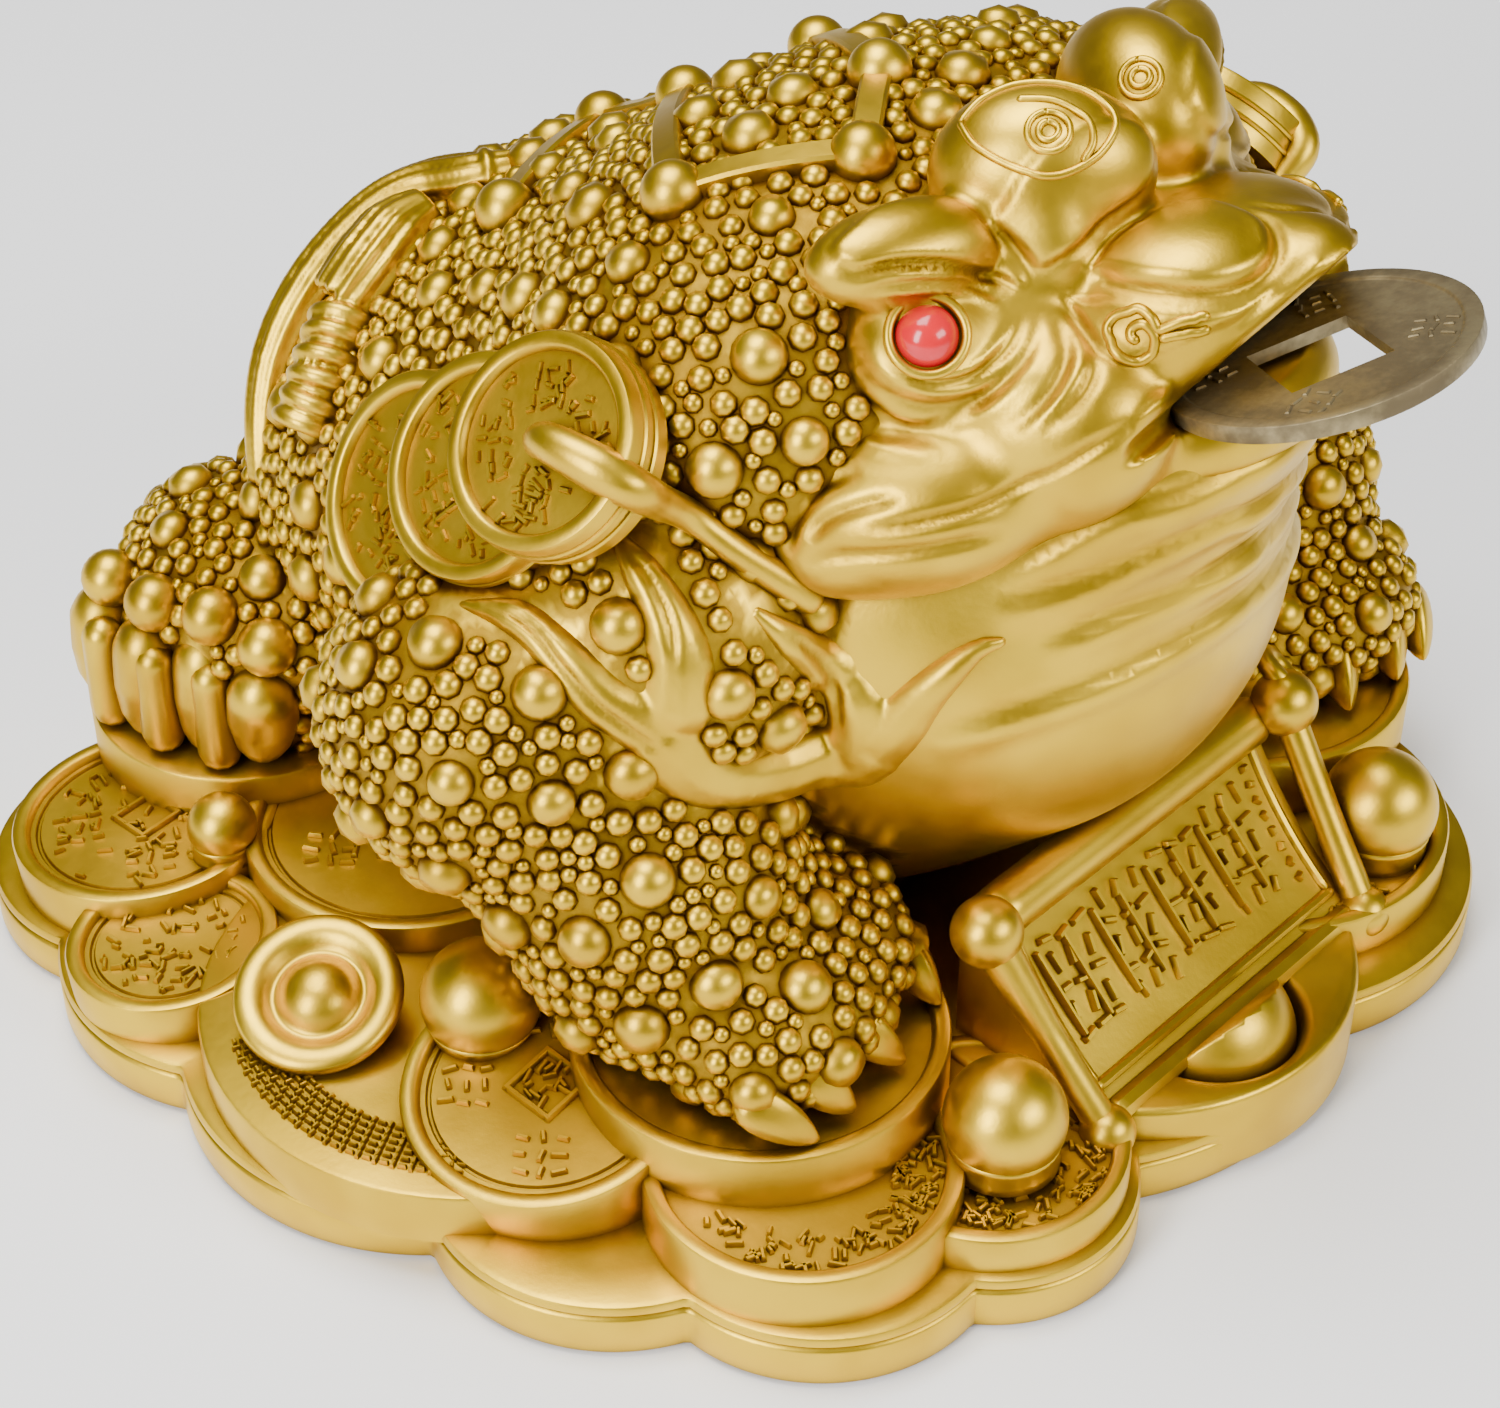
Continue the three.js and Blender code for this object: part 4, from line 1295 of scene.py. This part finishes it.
def collar(centre, radius):
    """The flared seat that a pearl sits in."""
    low = min(centre[2] - BED_TOP + 1.2, radius * 0.95)
    profile = [(0, -low)]
    for share, flare in ((1, 2.0), (0.86, 1.1), (0.72, 0.55), (0.56, 0.2), (0.4, 0.0)):
        profile.append((math.sqrt(radius**2 - (low * share) ** 2) + flare, -low * share))
    profile.append((0, -low * 0.4))
    return lay(turned(profile, 48), centre)


def front_dome():
    """The dome in the boat ingot, cut off behind the scroll's sheet and inside the bed."""
    piece = ball(FRONT_DOME, FRONT_DOME_RADIUS, 5)
    pick(piece)
    bpy.ops.object.mode_set(mode="EDIT")
    for place, normal in ((SHEET_EDGE, SHEET_COVER), ((0, 0, 1), (0, 0, -1))):
        bpy.ops.mesh.select_all(action="SELECT")
        bpy.ops.mesh.bisect(plane_co=place, plane_no=normal, use_fill=True, clear_outer=True)
    bpy.ops.object.mode_set(mode="OBJECT")
    return piece


def pearls():
    pieces = []
    for centre, radius in PEARLS:
        pieces += [ball(centre, radius, 5), collar(centre, radius)]
    return joined([*pieces, front_dome()])


SHEET_TOP = (-33.3, 23.4)
SHEET_FOOT = (-46.4, 8.4)
SHEET_HALF = 17.4
SHEET_SAG = 1.3


def on_sheet(x, share, rise):
    """A place on the hollow front of the scroll: 0 is its top edge and 1 its foot."""
    top, foot = Vector(SHEET_TOP), Vector(SHEET_FOOT)
    down = (foot - top).normalized()
    out = Vector((down.y, -down.x))
    place = top.lerp(foot, share) + out * (rise - SHEET_SAG * 4 * share * (1 - share))
    return (x, place.x, place.y)


def scroll():
    """A hollow sheet with a raised frame, held between two rods with knobs."""
    shares = np.linspace(0, 1, 17)
    outline = [on_sheet(0, s, 0)[1:] for s in shares] + [(-44, 7.5), (-31, 7.5), (-31, 22)]
    count = len(outline)
    points = [(x, y, z) for x in (-SHEET_HALF, SHEET_HALF) for y, z in outline]
    faces = [tuple(range(count - 1, -1, -1)), tuple(range(count, 2 * count))]
    faces += [(i, (i + 1) % count, (i + 1) % count + count, i + count) for i in range(count)]
    pieces = [mesh_piece(points, faces)]
    for share, radius in ((0.10, 0.5), (0.88, 0.5), (1.0, 1.1)):
        ends = [on_sheet(x, share, 0.05) for x in (-16.6, 16.6)]
        pieces.append(tube(ends, [radius, radius], sides=2))
    for x in (-15.9, 15.9):
        edge = [on_sheet(x, s, 0.05) for s in np.linspace(0.1, 0.88, 9)]
        pieces.append(tube(edge, [0.45, 0.45], sides=2))
    words = []
    length = (Vector(SHEET_TOP) - Vector(SHEET_FOOT)).length
    for k in range(4):
        x = -11.6 + 7.1 * k
        words += stroke_rows(x, 0.49 * length, 6.2, 4, 50 + k, rows=5)
        words += [(x + aside, 0.49 * length, 8.0, 0.5, 1.5) for aside in (-2.9, 0.4)]
    words += [(14.2, 4.4 + 1.5 * k, 0.8, 0.6, 0.4 * k) for k in range(8)]
    relief = bars(words, 0.62)
    moved = [on_sheet(x, y / length, z) for x, y, z in points_of(relief)]
    set_points(relief, np.array(moved))
    pieces.append(relief)
    for side in SIDES:
        upper, middle = (19.8 * side, -35.4, 23.4), (18.8 * side, -41.2, 15.6)
        lower = (17.8 * side, -47.0, 8)
        wide = 1.9 if side < 0 else 1.45
        pieces.append(tube([upper, middle, lower], [wide, 1.35, 1.5], sides=4))
        pieces += [ball(upper, 2.9), ball(lower, 2.3)]
    pieces.append(tube([(-17.5, -33.4, 21.6), (19.4, -33.4, 21.6)], [2.3, 2.3], sides=6))
    clear()
    bpy.ops.mesh.primitive_torus_add(
        major_radius=2.0, minor_radius=0.9, major_segments=32, minor_segments=12
    )
    curl = bpy.context.object
    pieces.append(lay(curl, (21.2, -33.6, 25.0), (0.6, -0.4, 0.7)))
    return joined(pieces)


NEAR_COIN = (-39.6, -8.2, 66.2)
COIN_LINE = (1.3, 21.0, -16.0)
COINS_FACE = (-0.77, 0.0, 0.63)
CORD = [
    (-39.0, -7.8, 65.4), (-40.0, -9.6, 66.9), (-39.9, -12.8, 66.9), (-38.4, -16.4, 65.4),
    (-35.9, -16.4, 63.0), (-33.2, -17.0, 60.6), (-31.0, -19.6, 57.6), (-28.2, -22.0, 54.4),
    (-26.4, -23.2, 52.2),
]
CORD_RADII = [1.2, 1.5, 1.75, 1.5, 1.25, 1.15, 1.2, 1.3, 1.2]


# Each coin's share of the way back along the string, its radius and its thickness.
STACK = [(0, 8.05, 4.5), (0.36, 8.6, 6), (0.76, 9.4, 6)]
LEFT_DROP = Vector((0, -2.5, -2.5))


def strung_coins(side):
    """Three thick coins on a cord at the side of the neck, lower on the left."""
    drop = Vector((0, 0, 0)) if side > 0 else LEFT_DROP
    pieces = []
    for k, (share, radius, depth) in enumerate(STACK):
        x, y, z = Vector(NEAR_COIN) + Vector(COIN_LINE) * share
        face = Vector(COINS_FACE).lerp(Vector((-0.84, 0.16, 0.5)), share)
        piece = coin(radius, depth, rim=True, line=False, rim_width=1.15)
        work = crumble(1.8, radius - 1.9, 46, 60 + k) + four_groups(radius * 0.52, 3.6, 20 + 30 * k, 64 + k)
        relief = bars(work, 0.32)
        relief.data.transform(Matrix.Translation((0, 0, -RIM_HEIGHT)))
        piece = joined([piece, relief])
        for low in (1.7, 3.0):
            round_edge = ring((0, 0, -low), (0, 0, 1), radius + 0.02, 48)
            piece = joined([piece, tube(round_edge, [0.22, 0.22], sides=1, round_ends=False)])
        place = Vector((x, y, z)) + drop
        piece = lay(piece, tuple(place), tuple(face))
        if side < 0:
            piece.data.transform(Matrix.Diagonal((-1, 1, 1, 1)))
            piece.data.flip_normals()
        pieces.append(piece)
    cord = [tuple(Vector(p) + drop) for p in CORD]
    pieces.append(tube(mirrored(cord, side), CORD_RADII, sides=5))
    return joined(pieces)


STAR_BALL_RADIUS = 2.5
STAR_BALLS = [(-10, -12.3), (-0.5, -5.6), (0.2, 15.5), (-19.6, -2.4), (2, 27), (-15.4, 20.6), (10, 10)]
STAR_BARS = [(0, 1), (2, 3), (3, 0), (5, 4), (4, 2), (1, 6)]
BAR_SECTION = [(-1.15, -0.8), (-1.15, 1.05), (-0.9, 1.3), (0.9, 1.3), (1.15, 1.05), (1.15, -0.8)]


def star_seats():
    """Where the star's balls stand on the back."""
    seats = []
    for x, y in STAR_BALLS:
        heights = np.arange(95, 20, -0.3)
        column = np.stack([heights * 0 + x, heights * 0 + y, heights], axis=1)
        seats.append(tuple(column[np.argmax(TRUNK(column) <= 0.6)]))
    return seats


def star(seats):
    """Seven balls joined by flat-topped bars that follow the back."""
    pieces = [ball(seat, STAR_BALL_RADIUS) for seat in seats]
    for a, b in STAR_BARS:
        line = snapped(smooth_line([seats[a], seats[b]], 0.8), TRUNK)
        out = normals_of(TRUNK, line)
        across = np.cross(np.gradient(line, axis=0), out)
        across /= np.linalg.norm(across, axis=1)[:, None]
        points, faces = [], []
        for place, up, aside in zip(line, out, across):
            for s, h in BAR_SECTION:
                points.append(place + aside * s + up * h)
        for k in range(len(line) - 1):
            for i in range(6):
                j = (i + 1) % 6
                faces.append((6 * k + i, 6 * k + j, 6 * k + 6 + j, 6 * k + 6 + i))
        pieces.append(faced_out(mesh_piece(points, faces)))
    return joined(pieces)


TAIL_BAND = [
    (-3.5, 28, 59.8), (-8.0, 31.0, 59.8), (-10.0, 35.4, 58.2), (-13.2, 38.0, 56.6), (-17.0, 39.6, 53.8),
    (-20.8, 40.4, 50.4), (-24.2, 40.4, 46.6), (-26.6, 39.6, 43.2), (-28.6, 38.2, 40.0), (-30.0, 37.0, 37),
]
TAIL_BAND_RADII = [1.6, 2.0, 2.1, 2.1, 2.1, 2.1, 2.0, 1.8, 1.5, 1.0]
TAIL_TASSEL_RADII = [1.6, 3.1, 3.4, 3.0]
TAIL_TASSEL = [(-12.9, 32.7, 58.5), (-16.0, 33.0, 57.2), (-20.6, 32.2, 55.2), (-23.3, 32.4, 53.3)]
TAIL_KNOT = [(-24.6, 31.0, 52.8), (-26.9, 30.0, 51.4), (-29.0, 29.2, 49.4), (-30.8, 29.0, 47.0)]


def bundle(points, radii, count, rod):
    """Thin rods lying side by side all round a thicker one."""
    line = smooth_line(points, 0.8)
    along = np.gradient(line, axis=0)
    along /= np.linalg.norm(along, axis=1)[:, None]
    across = np.cross(along, normals_of(skin, line))
    across /= np.linalg.norm(across, axis=1)[:, None]
    up = np.cross(across, along)
    stations = np.linspace(0, len(radii) - 1, len(line))
    radius = np.interp(stations, np.arange(len(radii)), radii)[:, None]
    rods = [tube(line, list(radius.ravel() * 0.92), sides=4)]
    for k in range(count):
        turn = 2 * math.pi * k / count
        out = across * math.cos(turn) + up * math.sin(turn)
        rods.append(tube(line + out * (radius - rod * 0.25), [rod, rod], sides=2))
    return rods


def bindings(points, count, radius, rod):
    """Rings wound round a line."""
    line = smooth_line(points, 0.1)
    places = np.linspace(0, len(line) - 1, count).astype(int)
    along = np.gradient(line, axis=0)
    return [tube(ring(line[k], along[k], radius), [rod, rod], round_ends=False) for k in places]


def tail():
    """A bound tuft that curls round the hip, with a tassel and a wound knot inside its curve."""
    rods = bundle(TAIL_BAND, TAIL_BAND_RADII, 11, 0.58)
    rods += bundle(TAIL_TASSEL, TAIL_TASSEL_RADII, 15, 0.62)
    rods += bindings([TAIL_BAND[0], TAIL_BAND[1]], 3, 2.2, 0.5)
    rods += bindings(TAIL_KNOT, 6, 2.5, 0.75) + [tube(TAIL_KNOT, [2.3, 2.4, 2.3], sides=5)]
    return remeshed(joined(rods), 0.27, 1)


CLAW_WIDE = 2.3
CLAW_HIGH = 2.7
# Along the claw: how far, how wide, how high. Across it: to the side, upwards.
CLAW_STATIONS = [(-0.25, 0.8, 0.8), (0.15, 1.0, 1.0), (0.5, 0.85, 0.85), (0.8, 0.5, 0.5), (1.0, 0.1, 0.12)]
CLAW_SECTION = [
    (-1.0, -0.7), (-0.95, 0.0), (-0.4, 0.62), (0.0, 0.95), (0.4, 0.62), (0.95, 0.0), (1.0, -0.7),
]


def claw(base, tip):
    """A pointed claw with a ridge down its middle."""
    base, tip = Vector(base), Vector(tip)
    way = (tip - base).normalized()
    across = way.cross(Vector((0, 0, 1))).normalized()
    up = across.cross(way)
    points, faces = [], []
    for share, w, h in CLAW_STATIONS:
        place = base.lerp(tip, share)
        for s, r in CLAW_SECTION:
            points.append(place + across * s * w * CLAW_WIDE + up * r * h * CLAW_HIGH)
    size = len(CLAW_SECTION)
    for k in range(len(CLAW_STATIONS) - 1):
        for i in range(size):
            j = (i + 1) % size
            faces.append((size * k + i, size * k + j, size * k + size + j, size * k + size + i))
    last = size * (len(CLAW_STATIONS) - 1)
    faces += [tuple(range(size)), tuple(last + i for i in reversed(range(size)))]
    return modified(faced_out(mesh_piece(points, faces)), "SUBSURF", levels=1, render_levels=1)


FRONT_CLAWS = [
    ((-42.0, -31.1, 18.2), (-38.9, -35.3, 14.6)), ((-36.9, -31.8, 18.4), (-34.7, -35.2, 14.6)),
    ((-30.6, -30.7, 18.6), (-28.1, -34.6, 14.6)), ((-21.1, -27.8, 18.6), (-21.3, -32.4, 14.6)),
]
HIND_TOES = [
    ((-40.8, 47.8, 24.5), (-40.8, 49.0, 14.4)), ((-41.7, 40.6, 25.0), (-41.7, 41.7, 14.4)),
    ((-39.3, 35.5, 25.0), (-39.7, 35.8, 14.4)), ((-38.7, 28.9, 24.0), (-37.0, 32.2, 14.4)),
]
KNUCKLES = [(-40.2, 47.0, 27.6), (-40.9, 39.9, 28.8), (-39.4, 33.9, 29.6), (-37.9, 28.6, 28.2)]


def hind_toe(top, foot, side):
    """A fat finger with a ridge down it."""
    top, foot = Vector(top), Vector(foot)
    stations = [tuple(top + (foot - top) * share) for share in (-0.2, 0.12, 0.45, 0.78, 1.02)]
    out = Vector((-0.75 * side, -0.65, 0.1)).normalized()
    crest = [tuple(Vector(p) + out * (r - 0.05)) for p, r in zip(stations[1:4], (2.75, 2.85, 2.45))]
    return [tube(stations, [2.5, 3.1, 3.15, 2.7, 1.5], sides=6), tube(crest, [0.25, 0.45, 0.2], sides=3)]


def toe_webs(aside):
    """Upright rods between the right hind toes, moved in or out by an amount."""
    rods = []
    middles = [(Vector(top) + Vector(foot)) / 2 for top, foot in HIND_TOES]
    for a, b in zip(middles, middles[1:]):
        middle = (a + b) / 2
        shift = Vector((aside, 0.4, 0))
        web = [tuple(middle + shift + Vector((0, 0, 6))), tuple(middle + shift - Vector((0, 0, 5.2)))]
        rods.append(tube(web, [1.8, 2.0], sides=3))
        middle += shift * 0.2
        edge = [tuple(middle + Vector((0, 0, 3.5))), tuple(middle - Vector((0, 0, 5)))]
        rods.append(tube(edge, [0.3, 0.45], sides=2))
    return rods


def toes():
    """Claws on the front feet, and fat fingers with knuckles on the hind feet."""
    pieces = []
    for side in SIDES:
        spread = 0 if side > 0 else LEFT_FOOT_SPREAD
        for base, tip in FRONT_CLAWS:
            pieces.append(claw(*[(x * side + spread, y, z) for x, y, z in (base, tip)]))
        for ends in HIND_TOES:
            pieces += hind_toe(*mirrored(ends, side), side)
        for place in mirrored(KNUCKLES, side):
            pieces.append(ball(place, 2.6, 3))
        pieces += toe_webs(1.9 * side)
    return joined(pieces)


# Warts.


def dome(sides):
    """One wart of radius 1 as points, faces and marks of painted shade round its foot, its foot sunk below
    the skin.
    """
    rings = [(1.0, -0.4), (1.0, 0.1), (0.76, 0.62)]
    turns = [2 * math.pi * i / sides for i in range(sides)]
    points = [(r * math.cos(turn), r * math.sin(turn), h) for r, h in rings for turn in turns]
    points.append((0, 0, 0.88))
    faces = []
    for k in range(len(rings) - 1):
        for i in range(sides):
            j = (i + 1) % sides
            faces.append((k * sides + i, k * sides + j, (k + 1) * sides + j, (k + 1) * sides + i))
    last = (len(rings) - 1) * sides
    faces += [(last + i, last + (i + 1) % sides, len(points) - 1) for i in range(sides)]
    return np.array(points), faces, np.array([1.0] * sides + [0.75] * sides + [0.0] * (sides + 1))


def scatter(piece, keep, spacing, seed, tries, taken=()):
    """Points spread over a skin, none closer together than the spacing."""
    mesh = piece.data
    mesh.calc_loop_triangles()
    corners = np.array([t.vertices for t in mesh.loop_triangles])
    points = points_of(piece)
    a, b, c = (points[corners[:, k]] for k in range(3))
    cross = np.cross(b - a, c - a)
    area = np.linalg.norm(cross, axis=1)
    rng = np.random.default_rng(seed)
    chosen = rng.choice(len(area), tries, p=area / area.sum())
    u, v = rng.random(tries), rng.random(tries)
    over = u + v > 1
    u[over], v[over] = 1 - u[over], 1 - v[over]
    spots = a[chosen] + (b - a)[chosen] * u[:, None] + (c - a)[chosen] * v[:, None]
    normals = cross[chosen] / np.maximum(area[chosen], 1e-9)[:, None]
    good = keep(spots)
    spots, normals = spots[good], normals[good]
    tree = KDTree(len(spots))
    for i, spot in enumerate(spots):
        tree.insert(spot, i)
    tree.balance()
    free = np.ones(len(spots), bool)
    for spot, size in taken:
        for _, i, _ in tree.find_range(spot, size + spacing / 2):
            free[i] = False
    found = []
    for k, spot in enumerate(spots):
        if free[k]:
            found.append((spot, normals[k]))
            for _, i, _ in tree.find_range(spot, spacing):
                free[i] = False
    return found


def wart_mesh(warts):
    """All warts of one piece: each is (place, normal, radius)."""
    plain, round_one = dome(8), dome(16)
    points = []
    all_faces = []
    all_marks = []
    start = 0
    for place, normal, radius in warts:
        shape, faces, marks = round_one if radius > 1.5 else plain
        normal = Vector(normal)
        first = normal.orthogonal().normalized()
        second = normal.cross(first)
        axes = np.array((first, second, normal))
        points.append(np.array(place) + shape @ axes * radius)
        all_faces += [tuple(start + i for i in face) for face in faces]
        all_marks.append(marks)
        start += len(shape)
    piece = mesh_piece(np.vstack(points), all_faces)
    # The foot of each wart gets painted shade.
    set_shade_marks(piece, np.concatenate(all_marks))
    return piece


def line_gap(spots, line):
    return np.linalg.norm(spots[:, None] - np.asarray(line)[None], axis=2).min(1)


BARE_LINES = []
for side in SIDES:
    for flame, widths in FLAMES:
        BARE_LINES.append((snapped(smooth_line(mirrored(flame, side), 0.8)), max(widths) * 0.75 + 0.7))
    for bare_top, bare_foot in HIND_TOES:
        BARE_LINES.append((smooth_line(mirrored((bare_top, bare_foot), side), 0.8), 3.3))


def warty(spots):
    """Keeps the places where the skin carries warts."""
    values = np.stack([field(spots) for field in FIELDS.values()])
    keep = values.argmin(0) != list(FIELDS).index("throat")
    keep &= HEAD((spots - np.array((-1.5, 0, 0))) @ np.array(HEAD_PLACE.to_3x3())) > 0.5
    keep &= spots[:, 2] > 11
    for line, reach in BARE_LINES:
        near = (spots > line.min(0) - reach).all(1) & (spots < line.max(0) + reach).all(1) & keep
        index = np.flatnonzero(near)
        if len(index):
            keep[index[line_gap(spots[index], line) < reach]] = False
    return keep


SHOULDER_WART_RADIUS = 2.1
SKIN_PARTS = (("front", -99, -6), ("middle", -6, 16), ("rear", 16, 99))


def all_warts(piece, seats):
    """Every wart of the skin as (place, normal, radius), the large ones placed first."""
    chance = random.Random(8)
    shoulder = [tuple(p) for side in SIDES for p in snapped(mirrored(SHOULDER_WARTS, side))]
    taken = [(seat, STAR_BALL_RADIUS) for seat in seats]
    taken += [(place, 2.0) for side in SIDES for place in mirrored(KNUCKLES, side)]
    taken += [(place, 2.2) for place in shoulder]
    large = [(s, n, chance.uniform(1.7, 2.25)) for s, n in scatter(piece, warty, 6.2, 3, 9000, taken)]
    large += [(s, normals_of(skin, np.array([s]))[0], SHOULDER_WART_RADIUS) for s in shoulder]
    taken += [(s, r) for s, _, r in large]
    spots = scatter(piece, warty, 1.82, 4, 160000, taken)
    middling = [(s, n, chance.uniform(0.98, 1.16)) for s, n in spots]
    taken += [(s, 0.86) for s, _, _ in middling]
    spots = scatter(piece, warty, 1.25, 5, 160000, taken)
    small = [(s, n, chance.uniform(0.6, 0.78)) for s, n in spots]
    return large + middling + small


def shade_between_warts(piece, warts):
    """Marks the skin between the warts as deep, for painted shade."""
    tree = KDTree(len(warts))
    for number, (spot, _, _) in enumerate(warts):
        tree.insert(spot, number)
    tree.balance()
    points = points_of(piece)
    marks = np.empty(len(points))
    piece.data.attributes["recess"].data.foreach_get("value", marks)
    for number, place in enumerate(points):
        _, found, gap = tree.find(place)
        if gap < warts[found][2] + 1.0:
            marks[number] = 1
    set_shade_marks(piece, marks)


# The whole figure.

set_camera()
set_floor()
set_lights()
BODY = body()
SEATS = star_seats()
WARTS = all_warts(BODY, SEATS)
# Painted shade on the skin between the warts.
shade_between_warts(BODY, WARTS)
for name, low, high in SKIN_PARTS:
    finish(wart_mesh([w for w in WARTS if low <= w[0][1] < high]), f"{name}_warts", angle=0)
finish(BODY, "toad_body", angle=0)
finish(flames(), "flames", angle=0)
finish(lower_tier(), "lower_tier")
finish(bed_coins(), "bed_coins")
finish(big_ingot(), "big_ingot")
finish(small_ingot(), "small_ingot", angle=0)
finish(pearls(), "pearls", angle=0)
finish(scroll(), "scroll")
for side, word in zip(SIDES, ("right", "left")):
    finish(strung_coins(side), f"{word}_strung_coins")
finish(star(SEATS), "star_of_balls")
finish(tail(), "tail_band", angle=0)
finish(toes(), "toes", angle=0)
finish(head(), "head", angle=0)
for side, word in zip(SIDES, ("right", "left")):
    eye_bead(side, f"{word}_eye_bead")
mouth_coin()
